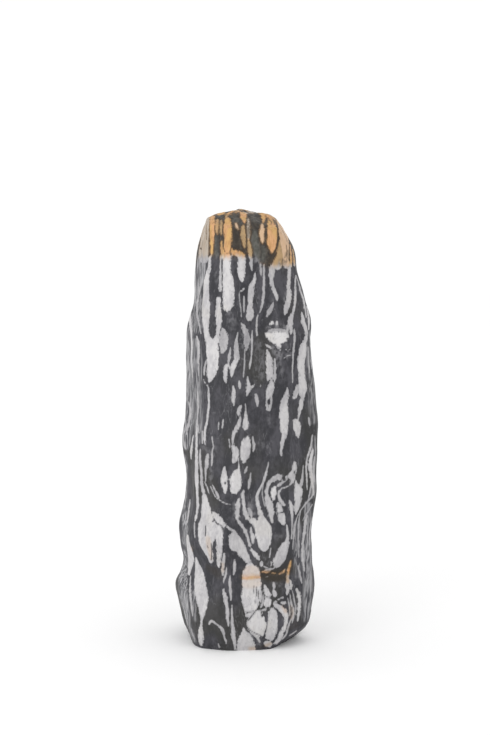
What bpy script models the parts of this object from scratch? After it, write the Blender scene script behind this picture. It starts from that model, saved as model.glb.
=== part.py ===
# A free-standing garden monolith: one upright column of banded marble, dressed smooth and left wavy.
# The foot is sawn flat. The front looks along -Y, +X is to the right of someone facing it.

import math

import bmesh
import bpy
from mathutils import Vector, noise

# Driving dimensions, in metres. WIDTH and DEPTH are the column's before lumps, flutes and waves
HEIGHT = 1.000
WIDTH = 0.318
DEPTH = 0.262

# How finely the skin is faceted
SIDE_RINGS = 76
SEGMENTS = 50
CROWN_RINGS = 5
FOOT_RINGS = 2

# Plan of the column: height as a share of HEIGHT, how square it is (2 is an ellipse),
# and how far it is turned, in degrees, so that the left flank shows from the front
PLAN = [
    (0.00, 3.4, 6),
    (0.12, 3.2, 7),
    (0.30, 2.8, 12),
    (0.60, 2.8, 15),
    (1.00, 2.7, 12),
]

# Outline from the front: height, left edge, right edge, as shares of HEIGHT and of WIDTH from the axis
FRONT_OUTLINE = [
    (0.000, -0.420, 0.360),
    (0.030, -0.458, 0.410),
    (0.060, -0.482, 0.438),
    (0.090, -0.505, 0.450),
    (0.125, -0.516, 0.476),
    (0.155, -0.478, 0.474),
    (0.185, -0.464, 0.464),
    (0.210, -0.477, 0.464),
    (0.235, -0.488, 0.466),
    (0.255, -0.491, 0.469),
    (0.285, -0.467, 0.476),
    (0.310, -0.453, 0.484),
    (0.335, -0.445, 0.488),
    (0.365, -0.440, 0.489),
    (0.390, -0.440, 0.479),
    (0.420, -0.446, 0.481),
    (0.445, -0.453, 0.494),
    (0.475, -0.448, 0.500),
    (0.500, -0.444, 0.499),
    (0.530, -0.443, 0.496),
    (0.565, -0.450, 0.485),
    (0.600, -0.462, 0.481),
    (0.640, -0.462, 0.461),
    (0.680, -0.456, 0.439),
    (0.710, -0.457, 0.435),
    (0.745, -0.435, 0.443),
    (0.775, -0.406, 0.420),
    (0.800, -0.392, 0.392),
    (0.830, -0.391, 0.366),
    (0.860, -0.380, 0.342),
    (0.885, -0.374, 0.342),
    (0.915, -0.373, 0.351),
    (0.940, -0.358, 0.332),
    (0.960, -0.344, 0.300),
    (1.000, -0.314, 0.246),
]

# Outline from the side: height, front face, back face, as shares of HEIGHT and of DEPTH from the axis
SIDE_OUTLINE = [
    (0.000, -0.440, 0.420),
    (0.060, -0.480, 0.470),
    (0.130, -0.474, 0.500),
    (0.190, -0.462, 0.480),
    (0.240, -0.500, 0.470),
    (0.320, -0.476, 0.490),
    (0.410, -0.462, 0.462),
    (0.500, -0.474, 0.440),
    (0.600, -0.446, 0.452),
    (0.700, -0.424, 0.440),
    (0.780, -0.412, 0.400),
    (0.860, -0.376, 0.380),
    (0.930, -0.340, 0.330),
    (1.000, -0.296, 0.270),
]

# Crown: the broken top falls away to both sides of a blunt ridge, and more so to the front and the back
CROWN_PEAK = Vector((-0.020, 0.022))
CROWN_FALL_FRONT = 3.4
CROWN_FALL_BACK = 2.2
CROWN_TILT = 0.20
CROWN_RIDGE_ROUNDING = 0.006
CROWN_ROUNDING = 0.004
CHIP_SIZE = 0.006
CHIPS_PER_METRE = 26
RIM_SHARE = 0.96

# Flat breaks that trim the column: bearing from the front and tilt up, in degrees,
# then the reach from the axis and the height of a point that the break passes through
BREAKS = [
    ("lower right corner", 62, -52, 0.112, 0.012),
    ("lower right edge", 100, -38, 0.136, 0.020),
    ("lower left heel", -96, -56, 0.136, 0.006),
    ("lower back heel", 172, -48, 0.112, 0.010),
    ("right shoulder", 84, 32, 0.090, 0.935),
    ("right upper flank", 66, 12, 0.110, 0.900),
    ("left shoulder", -92, 16, 0.112, 0.930),
    ("back shoulder", 165, 24, 0.086, 0.935),
    ("front left arris", -42, 4, 0.146, 0.520),
    ("back right arris", 140, -3, 0.146, 0.480),
]
BREAK_SOFTNESS = 0.012

# Lumps and hollows: bearing in degrees, height, half width, half height, rise
LUMPS = [
    ("hollow of the eye", 11, 0.752, 0.024, 0.020, -0.012),
    ("brow over the eye", 12, 0.785, 0.036, 0.014, 0.004),
    ("lip under the eye", 12, 0.712, 0.034, 0.022, 0.005),
    ("left knot", -24, 0.272, 0.040, 0.050, 0.010),
    ("knuckle right of the channel", 14, 0.268, 0.032, 0.046, 0.009),
    ("ring fold", 25, 0.372, 0.046, 0.060, 0.007),
    ("ledge, right end", 26, 0.206, 0.034, 0.020, 0.007),
    ("ledge, left end", 6, 0.188, 0.032, 0.018, 0.007),
    ("recess, right end", 27, 0.172, 0.032, 0.017, -0.011),
    ("recess, left end", 10, 0.158, 0.026, 0.014, -0.008),
    ("belly over the foot", 8, 0.100, 0.050, 0.050, 0.007),
    ("foot flute", -14, 0.110, 0.018, 0.090, -0.006),
    ("channel, upper end", -12, 0.350, 0.030, 0.030, -0.005),
    ("channel, lower end", 2, 0.246, 0.022, 0.030, -0.007),
    ("drop", -8, 0.405, 0.030, 0.034, 0.004),
    ("breast", -6, 0.560, 0.070, 0.110, 0.004),
    ("right hollow", 34, 0.640, 0.036, 0.080, -0.004),
    ("left hip", -76, 0.140, 0.060, 0.050, 0.007),
    ("left waist", -74, 0.184, 0.060, 0.020, -0.005),
    ("left elbow", -72, 0.480, 0.060, 0.038, 0.005),
    ("left hollow", -82, 0.400, 0.050, 0.040, -0.006),
    ("left knee", -90, 0.290, 0.060, 0.050, 0.002),
    ("right elbow", 84, 0.520, 0.050, 0.060, 0.005),
    ("right hollow low", 88, 0.270, 0.060, 0.050, -0.008),
    ("right hip", 96, 0.150, 0.056, 0.046, 0.007),
    ("back boss, high", 168, 0.700, 0.070, 0.080, 0.009),
    ("back hollow, high", -158, 0.590, 0.050, 0.070, -0.009),
    ("back boss, middle", -166, 0.450, 0.060, 0.060, 0.009),
    ("back hollow, middle", 160, 0.400, 0.050, 0.050, -0.008),
    ("back ledge", 176, 0.250, 0.080, 0.022, 0.009),
    ("back recess", 178, 0.212, 0.070, 0.018, -0.010),
    ("back boss, low", -150, 0.130, 0.060, 0.060, 0.008),
    ("right flank hollow", 120, 0.560, 0.050, 0.080, -0.008),
    ("right flank boss", 118, 0.330, 0.050, 0.070, 0.008),
]

# Soft upright flutes all round, and the waviness between them
# Each flute set: how many, how deep, where it starts and how it sways with height, in radians per metre
FLUTES = [
    (5, 0.0026, 0.6, 5.0),
    (9, 0.0022, 2.1, 7.5),
    (14, 0.0011, 4.0, 9.0),
]
# Each wave set: cycles per metre across and up, and how far it stands out
WAVES = [
    (9.0, 4.2, 0.0052),
    (19.0, 10.0, 0.0034),
    (38.0, 20.0, 0.0014),
]
# How far each flute sways, in radians, and what brings the noise up to about -1 to 1
FLUTE_SWAY = 0.9
NOISE_GAIN = 2
NOISE_SHIFT = Vector((3.7, 1.9, 8.3))

STONE_COLOUR = (0.33, 0.33, 0.34, 1.0)
STONE_ROUGHNESS = 0.42


def clear_scene():
    for obj in list(bpy.data.objects):
        bpy.data.objects.remove(obj, do_unlink=True)


def along(stations, share, column):
    """One column of an outline at a share of the height, on a smooth curve through its stations."""
    last = len(stations) - 1
    share = min(max(share, stations[0][0]), stations[last][0])
    at = max(i for i in range(last) if stations[i][0] <= share)
    before, low, high, after = (stations[min(max(i, 0), last)] for i in (at - 1, at, at + 1, at + 2))
    span = high[0] - low[0]
    part = (share - low[0]) / span
    slope_low = (high[column] - before[column]) / max(high[0] - before[0], 1e-9) * span
    slope_high = (after[column] - low[column]) / max(after[0] - low[0], 1e-9) * span
    rise = high[column] - low[column]
    return (
        low[column]
        + slope_low * part
        + (3 * rise - 2 * slope_low - slope_high) * part**2
        + (slope_low + slope_high - 2 * rise) * part**3
    )


def plan_point(bearing, share):
    """A point of the plan at a bearing from the front, in a square of half width 1."""
    power = along(PLAN, share, 1)
    turn = math.radians(along(PLAN, share, 2))
    across, deep = math.sin(bearing - turn), math.cos(bearing - turn)
    size = (abs(across) ** power + abs(deep) ** power) ** (-1 / power)
    dual = power / (power - 1)
    reach = (abs(math.cos(turn)) ** dual + abs(math.sin(turn)) ** dual) ** (1 / dual)
    return math.sin(bearing) * size / reach, -math.cos(bearing) * size / reach


def section_box(share):
    """The middle and the half size of the column's section at a share of the height."""
    left, right = (along(FRONT_OUTLINE, share, i) * WIDTH for i in (1, 2))
    front, back = (along(SIDE_OUTLINE, share, i) * DEPTH for i in (1, 2))
    centre = Vector(((left + right) / 2, (front + back) / 2, share * HEIGHT))
    return centre, (right - left) / 2, (back - front) / 2


def turn_between(a, b):
    return (a - b + math.pi) % math.tau - math.pi


def break_plane(bearing, tilt, reach, height):
    """The outward normal of a break and its distance from the origin."""
    turn, lean = math.radians(bearing), math.radians(tilt)
    outward = Vector((math.sin(turn), -math.cos(turn), 0))
    normal = outward * math.cos(lean) + Vector((0, 0, math.sin(lean)))
    return normal, normal.dot(outward * reach + Vector((0, 0, height)))


BREAK_PLANES = [break_plane(*numbers) for _, *numbers in BREAKS]


def lump_rise(bearing, height, radius):
    rise = 0
    for _, at, up, half_width, half_height, most in LUMPS:
        across = turn_between(bearing, math.radians(at)) * radius / half_width
        above = (height - up) / half_height
        rise += most * math.exp(-(across**2) - above**2)
    return rise


def wave_rise(point):
    rise = 0
    for across, up, most in WAVES:
        at = Vector((point.x * across, point.y * across, point.z * up)) + NOISE_SHIFT
        rise += most * NOISE_GAIN * noise.noise(at)
    return rise


def flute_rise(bearing, height):
    return sum(
        most * math.cos(count * bearing + start + FLUTE_SWAY * math.sin(height * sway))
        for count, most, start, sway in FLUTES
    )


def trimmed(point, centre):
    """The point drawn in towards the column's centre line where a break cuts it, with a soft arris."""
    softness = BREAK_SOFTNESS / (point - centre).length
    keep = 1.0
    for normal, distance in BREAK_PLANES:
        outward = normal.dot(point - centre)
        if outward <= 0:
            continue
        share = (distance - normal.dot(centre)) / outward
        gap = max(softness - abs(share - keep), 0)
        keep = min(keep, share) - gap**2 / softness / 4
    return centre + (point - centre) * keep


def skin_point(bearing, share):
    """A point of the finished skin, from the foot up to the crown's rim."""
    centre, half_width, half_depth = section_box(share)
    across, deep = plan_point(bearing, share)
    point = centre + Vector((across * half_width, deep * half_depth, 0))
    out = (point - centre).normalized()
    radius = (point - centre).length
    rise = lump_rise(bearing, point.z, radius) + wave_rise(point) + flute_rise(bearing, point.z)
    return trimmed(point + out * rise, centre)


def crown_height(x, y):
    """The height of the broken top over a point of the plan."""
    ahead = y - CROWN_PEAK.y
    beside = x - CROWN_PEAK.x
    fall = (CROWN_FALL_FRONT if ahead < 0 else CROWN_FALL_BACK) * ahead**2
    chips = CHIP_SIZE * noise.noise(Vector((x, y, 0)) * CHIPS_PER_METRE + NOISE_SHIFT)
    fall += CROWN_TILT * (math.hypot(beside, CROWN_RIDGE_ROUNDING) - CROWN_RIDGE_ROUNDING)
    return HEIGHT - CROWN_ROUNDING - fall + chips


def rim_share(bearing):
    """How high the side reaches at a bearing, as a share of HEIGHT, before the crown takes over."""
    rim = skin_point(bearing, RIM_SHARE)
    return crown_height(rim.x, rim.y) / HEIGHT


def side_rings():
    """The rings of the side. They are level at the foot and follow the crown's rim at the top."""
    bearings = [math.tau * i / SEGMENTS for i in range(SEGMENTS)]
    tops = [rim_share(bearing) for bearing in bearings]
    return [
        [skin_point(bearing, top * row / SIDE_RINGS) for bearing, top in zip(bearings, tops)]
        for row in range(SIDE_RINGS + 1)
    ]


def crown_ring(rim, row):
    """A ring drawn in from the rim over the broken top, with the arris rounded over."""
    inward = row / CROWN_RINGS
    ring = []
    for p in rim:
        x, y = Vector((p.x, p.y)).lerp(CROWN_PEAK, inward)
        ring.append(Vector((x, y, crown_height(x, y) + CROWN_ROUNDING)))
    return ring


def foot_ring(rim, row):
    """A level ring drawn in over the sawn foot."""
    middle = sum(rim, Vector()) / len(rim)
    return [p.lerp(middle, row / (FOOT_RINGS + 1)) for p in rim]


def add_ring(mesh, points):
    return [mesh.verts.new(p) for p in points]


def skin_between(mesh, lower, upper):
    for i in range(len(lower)):
        after = (i + 1) % len(lower)
        mesh.faces.new((lower[i], lower[after], upper[after], upper[i]))


def fan(mesh, ring, middle, outward_up):
    tip = mesh.verts.new(middle)
    for i in range(len(ring)):
        after = (i + 1) % len(ring)
        mesh.faces.new((ring[i], ring[after], tip) if outward_up else (ring[after], ring[i], tip))


def centred(rings):
    """Moves the stone so that the middle of its box is over the origin, and its foot is on the ground."""
    points = [p for ring in rings for p in ring]
    shift = Vector(
        (
            (min(p.x for p in points) + max(p.x for p in points)) / 2,
            (min(p.y for p in points) + max(p.y for p in points)) / 2,
            min(p.z for p in points),
        )
    )
    return [[p - shift for p in ring] for ring in rings]


def stone_mesh():
    side = side_rings()
    foot = [foot_ring(side[0], row) for row in range(FOOT_RINGS, 0, -1)]
    crown = [crown_ring(side[-1], row) for row in range(1, CROWN_RINGS)]
    peak = [Vector((*CROWN_PEAK, crown_height(*CROWN_PEAK) + CROWN_ROUNDING))]
    heel = [sum(side[0], Vector()) / SEGMENTS]
    rings = centred(foot + side + crown + [peak, heel])

    mesh = bmesh.new()
    made = [add_ring(mesh, ring) for ring in rings[:-2]]
    for lower, upper in zip(made, made[1:]):
        skin_between(mesh, lower, upper)
    fan(mesh, made[-1], rings[-2][0], True)
    fan(mesh, made[0], rings[-1][0], False)
    bmesh.ops.triangulate(mesh, faces=mesh.faces)
    bmesh.ops.recalc_face_normals(mesh, faces=mesh.faces)
    data = bpy.data.meshes.new("monolith")
    mesh.to_mesh(data)
    mesh.free()
    data.shade_smooth()
    return data


def stone_material():
    material = bpy.data.materials.new("banded_marble")
    material.use_nodes = True
    surface = material.node_tree.nodes["Principled BSDF"]
    surface.inputs["Base Color"].default_value = STONE_COLOUR
    surface.inputs["Roughness"].default_value = STONE_ROUGHNESS
    surface.inputs["Metallic"].default_value = 0.0
    return material


def main():
    clear_scene()
    data = stone_mesh()
    data.materials.append(stone_material())
    bpy.context.scene.collection.objects.link(bpy.data.objects.new("monolith", data))


main()
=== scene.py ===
import math
import random

import bmesh
import bpy
import numpy as np
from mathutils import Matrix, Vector, noise
from mathutils.bvhtree import BVHTree


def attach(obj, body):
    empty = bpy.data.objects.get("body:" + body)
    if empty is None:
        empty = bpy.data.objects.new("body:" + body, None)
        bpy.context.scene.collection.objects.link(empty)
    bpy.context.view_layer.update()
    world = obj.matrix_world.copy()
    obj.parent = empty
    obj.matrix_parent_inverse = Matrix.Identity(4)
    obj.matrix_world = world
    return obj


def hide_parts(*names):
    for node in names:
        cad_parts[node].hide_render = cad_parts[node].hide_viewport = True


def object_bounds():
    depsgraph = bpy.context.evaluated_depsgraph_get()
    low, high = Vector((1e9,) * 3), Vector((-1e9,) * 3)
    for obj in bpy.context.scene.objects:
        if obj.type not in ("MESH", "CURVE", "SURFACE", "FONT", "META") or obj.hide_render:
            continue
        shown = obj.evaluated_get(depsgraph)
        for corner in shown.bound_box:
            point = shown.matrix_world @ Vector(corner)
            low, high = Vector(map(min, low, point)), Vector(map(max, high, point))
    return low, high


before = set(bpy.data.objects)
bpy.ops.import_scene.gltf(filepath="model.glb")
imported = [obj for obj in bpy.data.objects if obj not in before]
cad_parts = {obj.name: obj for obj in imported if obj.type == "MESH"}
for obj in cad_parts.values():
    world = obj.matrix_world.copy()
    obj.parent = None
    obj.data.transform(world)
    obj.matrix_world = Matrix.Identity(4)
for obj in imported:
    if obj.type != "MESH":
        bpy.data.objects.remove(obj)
cadLow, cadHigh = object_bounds()
mm = 0.001

# Marks on the front of the stone: a tone from 0, grey, to 1, white, and a stroke of
# (x, height, half width) in mm as read square on. Each list is laid in its own order.
frontMarks = [
    # crown
    (0.9, [(-77, 990, 5.8), (-76.6, 970, 6.2), (-76.4, 952, 5.8), (-76, 935, 4.8), (-76, 918, 3.6),
     (-76.6, 900, 3)]),
    (0.1, [(-90.5, 984, 6), (-90.5, 965, 8), (-91.5, 945, 9.4), (-93, 925, 10.6), (-94.5, 908, 11.4),
     (-96, 890, 11.6)]),
    (0.6, [(-64, 976, 3.4), (-63.8, 965, 5.2), (-63.6, 954, 4.8), (-63.4, 945, 2)]),
    (0.5, [(-55.6, 976, 2), (-55.6, 962, 3), (-55.2, 945, 2)]),
    (0.7, [(-55, 928, 1.8), (-54, 916, 3.4), (-51, 905, 6), (-47, 896, 8)]),
    (1.0, [(-41, 975, 6.5), (-41, 965, 9.0), (-40, 950, 9.4), (-39.5, 935, 8.8), (-41, 920, 8.6),
     (-42, 908, 7), (-42, 899, 6)]),
    (0.9, [(-48, 995, 5), (-38, 995, 7), (-26, 996, 6)]),
    (0.6, [(-45, 986, 3), (-43, 981, 3)]),
    (0.9, [(-9, 999, 8), (-6, 989, 8), (-4, 980, 6), (-3, 974, 3)]),
    (0.3, [(-23, 968, 2.4), (-20, 962, 3.6), (-17, 957, 2)]),
    (0.5, [(-6, 963, 3.4), (-6, 950, 5), (-5.4, 936, 5), (-4.4, 924, 3.6), (-3, 916, 2)]),
    (0.15, [(6, 980, 2), (6, 966, 3.6), (6, 952, 3.6), (6, 938, 2.6)]),
    (0.5, [(5, 932, 2), (8, 917, 4.6), (10.4, 902, 4.8), (12, 890, 3.2), (13.5, 882, 1.8)]),
    (0.8, [(-34, 909, 5), (-26, 904, 6), (-14, 901, 6.4), (-6, 899, 4)]),
    (0.35, [(36, 966, 2.6), (36, 956, 5), (35.6, 945, 5.4), (36, 935, 4.6), (37, 926, 2)]),
    (0.8, [(40, 990, 4.6), (40, 981, 4.4), (39, 972, 2.6)]),
    (0.9, [(52, 986, 5), (57, 981, 7), (64, 978, 3)]),
    (1.0, [(57, 973, 8), (58.5, 958, 10.6), (58.5, 942, 11.6), (58.5, 926, 10.6), (60, 914, 8),
     (61.4, 904, 3.6)]),
    (0.35, [(70, 976, 3), (77, 962, 5), (82, 946, 9), (86, 930, 10.6), (89, 912, 9.6), (90, 895, 9),
     (90, 878, 9)]),
    (0.56, [(75.4, 926, 1.6), (75.6, 913, 4.6), (76, 899, 7.4), (74, 887, 9.6), (70, 876, 11)]),
    (0.8, [(100.6, 922, 1.2), (101.4, 905, 2), (102, 888, 2.4), (102.6, 870, 1.8)]),
    (0.6, [(107, 908, 1.2), (109, 890, 2), (110, 872, 1.8)]),
    # first white column and the two prongs that join below it
    (0.8, [(-80.5, 893, 2.4), (-81.5, 880, 3), (-83.5, 865, 4), (-86.5, 850, 4.8), (-88.5, 838, 5.6),
     (-89.3, 820, 6.6), (-89, 800, 8), (-89, 780, 9.4), (-89, 762, 9), (-89, 742, 7), (-88, 724, 6.4),
     (-84, 709, 8)]),
    (0.95, [(-76, 700, 13.6), (-75, 686, 14.6), (-74.5, 662, 13.4), (-76, 641, 11.6), (-79, 627, 7.6),
     (-81.5, 616, 3)]),
    (0.45, [(-57, 898, 1.4), (-57, 880, 1.9), (-57, 860, 2.8), (-57, 840, 3.6), (-58, 820, 4.2)]),
    (0.75, [(-60.3, 802, 4.6), (-61, 780, 6), (-61, 760, 6.8), (-61, 742, 5.4), (-63, 722, 4.4),
     (-66, 708, 8)]),
    # broad column with a round end
    (0.9, [(-41.5, 893, 9.6), (-42.5, 880, 9.2), (-42, 861, 9.6), (-40, 842, 12), (-38.5, 822, 13.2),
     (-39, 802, 12.6), (-40, 791, 12), (-41.5, 784, 9), (-43, 779, 5)]),
    (0.8, [(-9.5, 893, 8.2), (-9.8, 880, 9), (-10.2, 862, 9), (-9.3, 851, 7), (-9.3, 842, 3.6)]),
    (0.5, [(-1, 827, 1.2), (-8, 822, 2), (-14, 818, 1.6)]),
    (0.1, [(-15, 815, 1.2), (-13.5, 795, 1.3), (-11, 778, 1.4), (-9.5, 762, 1.2)]),
    (0.1, [(-4.5, 808, 1.6), (-4, 790, 2), (-4, 772, 1.6)]),
    (0.4, [(10, 884, 3), (12.5, 873, 2.6), (14, 863, 1)]),
    # columns at the right of the middle
    (0.7, [(20, 858, 1.4), (19, 845, 3.4), (14.5, 832, 5.4), (11.5, 820, 6.8), (9.5, 802, 6.4),
     (9.3, 786, 5.6), (9.7, 772, 8), (9, 763, 9), (8.5, 757, 6.5)]),
    (0.2, [(33, 880, 2.4), (33, 866, 3), (33.5, 852, 1.6)]),
    (0.2, [(40.5, 878, 1.2), (40, 860, 2), (40.3, 842, 2.6), (39.8, 822, 3.1), (38.4, 802, 3.2),
     (34.5, 782, 2.2), (31, 770, 1.4)]),
    (0.45, [(26.5, 765, 1.6), (24.5, 751, 2), (24.5, 735, 1.9), (25, 720, 1.7)]),
    (0.4, [(58, 886, 3), (57.5, 874, 7), (57.5, 861, 7.2), (56.5, 850, 5.6), (56.5, 840, 4), (61, 825, 4),
     (66, 813, 4), (69, 804, 3.4), (69.5, 798, 1.6)]),
    (0.05, [(61, 792, 1.8), (56, 780, 4.4), (51, 770, 4.6), (46.5, 761, 2)]),
    (0.6, [(98.5, 882, 3), (98, 860, 4), (96.3, 840, 4.2), (96, 820, 4.8), (96.8, 808, 6.2), (96, 797, 6),
     (92, 782, 6), (88.5, 771, 3.6), (87, 765, 1.4)]),
    (0.7, [(112.5, 852, 1.2), (111.5, 832, 2), (110.8, 802, 2.7), (109, 782, 2.7), (105.5, 770, 3),
     (102, 761, 4.6), (99.5, 751, 6.2), (99.5, 741, 5.6), (101, 731, 4), (101.6, 722, 2.2)]),
    (0.35, [(108, 733, 1.2), (109, 722, 2.8), (110.4, 708, 2.4), (108.6, 690, 2.2), (106.6, 674, 2),
     (105.4, 655, 1.7), (105, 635, 1.6), (105, 612, 1.3)]),
    # eye
    (0.85, [(53, 744, 3), (56, 745, 4.4), (59, 748, 3.8)]),
    (0.7, [(69.4, 750, 2.2), (69, 744, 3)]),
    (0.1, [(50, 728, 2.6), (60, 730, 4), (74, 731, 4), (88, 729, 3.4)]),
    (1.0, [(45, 723, 3), (49, 721, 5.4), (55, 718, 8.6), (61, 715, 11.6), (68, 713, 14), (76, 713, 14.4),
     (84, 717, 10), (89, 718, 7.6)]),
    (1.0, [(88, 709, 3), (91, 707, 2.4)]),
    (0.9, [(70, 701, 4.4), (75, 697, 5), (78, 692, 2)]),
    (0.7, [(93, 742, 1.6), (93.4, 732, 2.4), (93.6, 722, 2)]),
    (0.7, [(44, 700, 1.2), (50, 695, 2.4), (56, 690, 2)]),
    (0.2, [(66, 697, 1.2), (71, 692, 1.6), (77, 685, 1.2)]),
    (0.1, [(86, 668, 1.4), (93, 672, 1.8), (101, 674, 1.4)]),
    (0.0, [(88, 688, 1.2), (94, 684, 1.6), (100, 688, 1.2)]),
    # chest, left
    (0.3, [(-53, 735, 3), (-49, 722, 9), (-49.3, 705, 9.2), (-51, 692, 7.6), (-53, 682, 3)]),
    (0.25, [(-18, 727, 1.6), (-20, 716, 2.2), (-21.5, 703, 3.6), (-21.5, 690, 5.8), (-21.5, 678, 6.4),
     (-20, 670, 5)]),
    (0.02, [(0, 734, 3), (2, 722, 6), (2, 708, 6.4), (1, 696, 4.4), (0, 688, 2)]),
    (0.45, [(-10, 748, 1.6), (-6, 742, 3.6), (-4, 734, 4.4), (-3, 727, 3)]),
    (0.9, [(-23, 667, 5), (-26, 658, 6), (-29, 648, 6), (-31, 638, 4.4), (-31, 629, 1.8)]),
    (0.75, [(-36, 650, 2.4), (-42.5, 655, 2.6), (-45, 644, 4.8), (-46, 632, 4.6), (-45, 621, 3.4),
     (-44, 614, 1.2)]),
    (0.2, [(-35, 693, 1.2), (-36, 682, 2.6), (-38, 668, 2.8), (-39, 659, 1.4)]),
    (0.35, [(-89, 665, 1), (-91.5, 652, 1.8), (-93, 640, 2.2), (-93, 628, 1.6)]),
    (0.1, [(-3, 690, 1), (-3, 670, 1.4), (-3.5, 650, 1.6), (-5, 635, 1.6), (-6, 626, 1)]),
    (0.45, [(14.5, 730, 1.2), (13.5, 714, 2.6), (13, 700, 2.4), (12.8, 684, 2), (11.8, 668, 2),
     (9.5, 655, 2.2), (8.4, 646, 1.2)]),
    # chest, right
    (0.7, [(47.5, 686, 2), (50, 677, 4), (52, 666, 6.4), (53, 651, 8), (53, 637, 8.2), (53.5, 624, 8.2)]),
    (0.3, [(64.6, 668, 1.6), (65, 650, 3), (65, 634, 3.6), (64, 622, 4)]),
    (0.55, [(57, 611, 6), (55, 600, 8.4), (53, 592, 7.6), (51, 584, 6)]),
    (0.25, [(47.5, 580, 2.4), (46.5, 570, 1.8), (48, 560, 3), (51.5, 553, 3.6), (55, 562, 3), (57, 572, 2),
     (57, 582, 2)]),
    (0.7, [(126, 768, 2), (128.5, 756, 4.4), (129, 746, 4.8), (133, 737, 4.6), (136, 727, 4),
     (136.5, 715, 3.8), (132, 700, 4.6), (129.5, 690, 7.4), (128, 678, 8.6), (125.5, 662, 8.6),
     (124.5, 650, 8.2), (125.5, 636, 7.8), (127, 620, 7.4), (127.5, 608, 9.6), (128, 598, 10.4),
     (127, 588, 8)]),
    (0.55, [(128.5, 585, 5.6), (127, 574, 5), (124, 562, 5.4), (122, 551, 5.2), (120, 540, 3.6),
     (118.5, 531, 1.6)]),
    (0.45, [(116, 601, 4.4), (113.5, 592, 5.4), (111, 583, 5.6), (107.5, 577, 3)]),
    (0.5, [(93, 600, 1.6), (92.6, 589, 4.6), (89.5, 579, 6.6), (86, 568, 8.6), (85, 558, 9.4)]),
    (0.75, [(85, 554, 10), (85, 541, 10.8), (86, 530, 10.4), (85.6, 519, 9.4), (86, 509, 8), (86, 499, 6.8),
     (84, 486, 4.6), (82, 474, 3.6), (80, 462, 3), (80.5, 447, 1.8)]),
    (0.7, [(110, 527, 4), (113.5, 519, 8.4), (115.5, 510, 8.8), (117, 501, 7), (118.5, 492, 3.8),
     (119.5, 487, 1.4)]),
    (0.2, [(142, 531, 1.4), (144.5, 521, 2.2), (146, 511, 1.4)]),
    # chest, middle
    (0.55, [(-28, 608, 1.8), (-27, 596, 4.2), (-27.5, 585, 4.2), (-27.4, 574, 3), (-26.8, 564, 1.4)]),
    (0.4, [(-14.5, 621, 1.4), (-15, 611, 3), (-14, 603, 1.8)]),
    (0.6, [(3.4, 631, 0.9), (4, 620, 2.8), (5.6, 608, 5.4), (5.6, 599, 5.6), (3, 591, 3), (1.8, 586, 1.2)]),
    (0.45, [(11, 604, 2.6), (16, 607, 2.2), (19.5, 611, 1)]),
    (0.15, [(22, 589, 2.8), (24, 578, 3.8), (25, 570, 3), (25.5, 563, 1.4)]),
    (0.2, [(32.5, 610, 1.4), (32.5, 606, 1.6)]),
    (0.45, [(-10, 566, 1.4), (-13.5, 559, 3.6), (-15.5, 551, 4.2), (-17, 544, 2.2)]),
    (0.6, [(-1.5, 570, 0.8), (-1, 556, 1.6), (-0.6, 545, 3), (-0.4, 533, 5.4), (-0.6, 522, 6.6),
     (-0.6, 515, 5.4)]),
    (0.4, [(-12, 540, 1.4), (-13.6, 532, 3), (-16.5, 521, 4.6), (-22, 511, 5.2), (-27, 503, 4),
     (-29.4, 494, 2.8), (-29.6, 483, 2.8)]),
    (0.6, [(-28, 474, 4), (-24.6, 466, 6.4), (-22.6, 456, 7), (-24, 446, 7), (-27, 438, 4.4)]),
    (0.75, [(2.5, 492, 4.4), (1, 485, 8.8), (-0.5, 475, 11.8), (-2, 464, 12), (-2.6, 453, 10.6),
     (-4, 443, 7), (-5, 435, 2.4)]),
    (0.25, [(15.2, 496, 1.4), (16.3, 486, 2.6), (18.2, 475, 3.6), (17.4, 466, 2.6), (16, 459, 1.2)]),
    (0.4, [(-50.5, 534, 1.1), (-52, 524, 1.9), (-53, 512, 1.6)]),
    (0.2, [(-60.5, 527, 1.1), (-61.5, 518, 1.8), (-62, 509, 1.5)]),
    (0.1, [(-38.5, 491, 1.2), (-36.5, 478, 1.6), (-35, 467, 1.2)]),
    (0.35, [(-76.5, 492, 1.2), (-76, 484, 1.7), (-74.5, 476, 1.2)]),
    (0.7, [(-85, 604, 1.4), (-83.6, 588, 2.4), (-83, 570, 2.4), (-84, 552, 2.4), (-86, 536, 2.4),
     (-88.5, 520, 2.6), (-91.5, 508, 2.6), (-93, 496, 2.8), (-93, 482, 2.4), (-92, 470, 1.4)]),
    (0.35, [(-95, 619, 1.2), (-92.5, 613, 1.6), (-90, 609, 1.6), (-87, 606, 1.6)]),
    # double drop and what hangs beside it
    (0.75, [(-48, 426, 1.6), (-48.6, 415, 4.4), (-49, 405, 6.8), (-49, 394, 7.8), (-48.6, 384, 7.2),
     (-47.4, 374, 5), (-46.4, 366, 2.4)]),
    (0.85, [(-15.7, 430, 1.5), (-16, 420, 3), (-20, 411, 8.6), (-22.6, 401, 13), (-23.4, 390, 13.6),
     (-24, 381, 13), (-26, 373, 9.4), (-27, 369, 4.6)]),
    (0.2, [(-17, 444, 1), (-16.5, 434, 1.2), (-16, 426, 1.4)]),
    (0.15, [(3, 426, 1.6), (0, 418, 3), (-3, 411, 2)]),
    (0.2, [(11.5, 410, 1.4), (10, 400, 2.4), (8, 390, 3), (6, 380, 2.4), (5, 373, 1)]),
    (0.6, [(-5, 371, 1.8), (-7.4, 362, 3.6), (-6.4, 352, 3.6), (-4.8, 340, 3.8), (-3, 329, 4.4),
     (-1, 318, 5), (4, 308, 5)]),
    (0.2, [(6, 330, 3), (10, 322, 4), (12, 314, 3)]),
    (0.6, [(-16, 353, 2), (-17.5, 345, 4.6), (-18.5, 335, 5), (-18.5, 322, 5), (-18, 310, 4.6),
     (-15, 301, 3.8)]),
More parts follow.
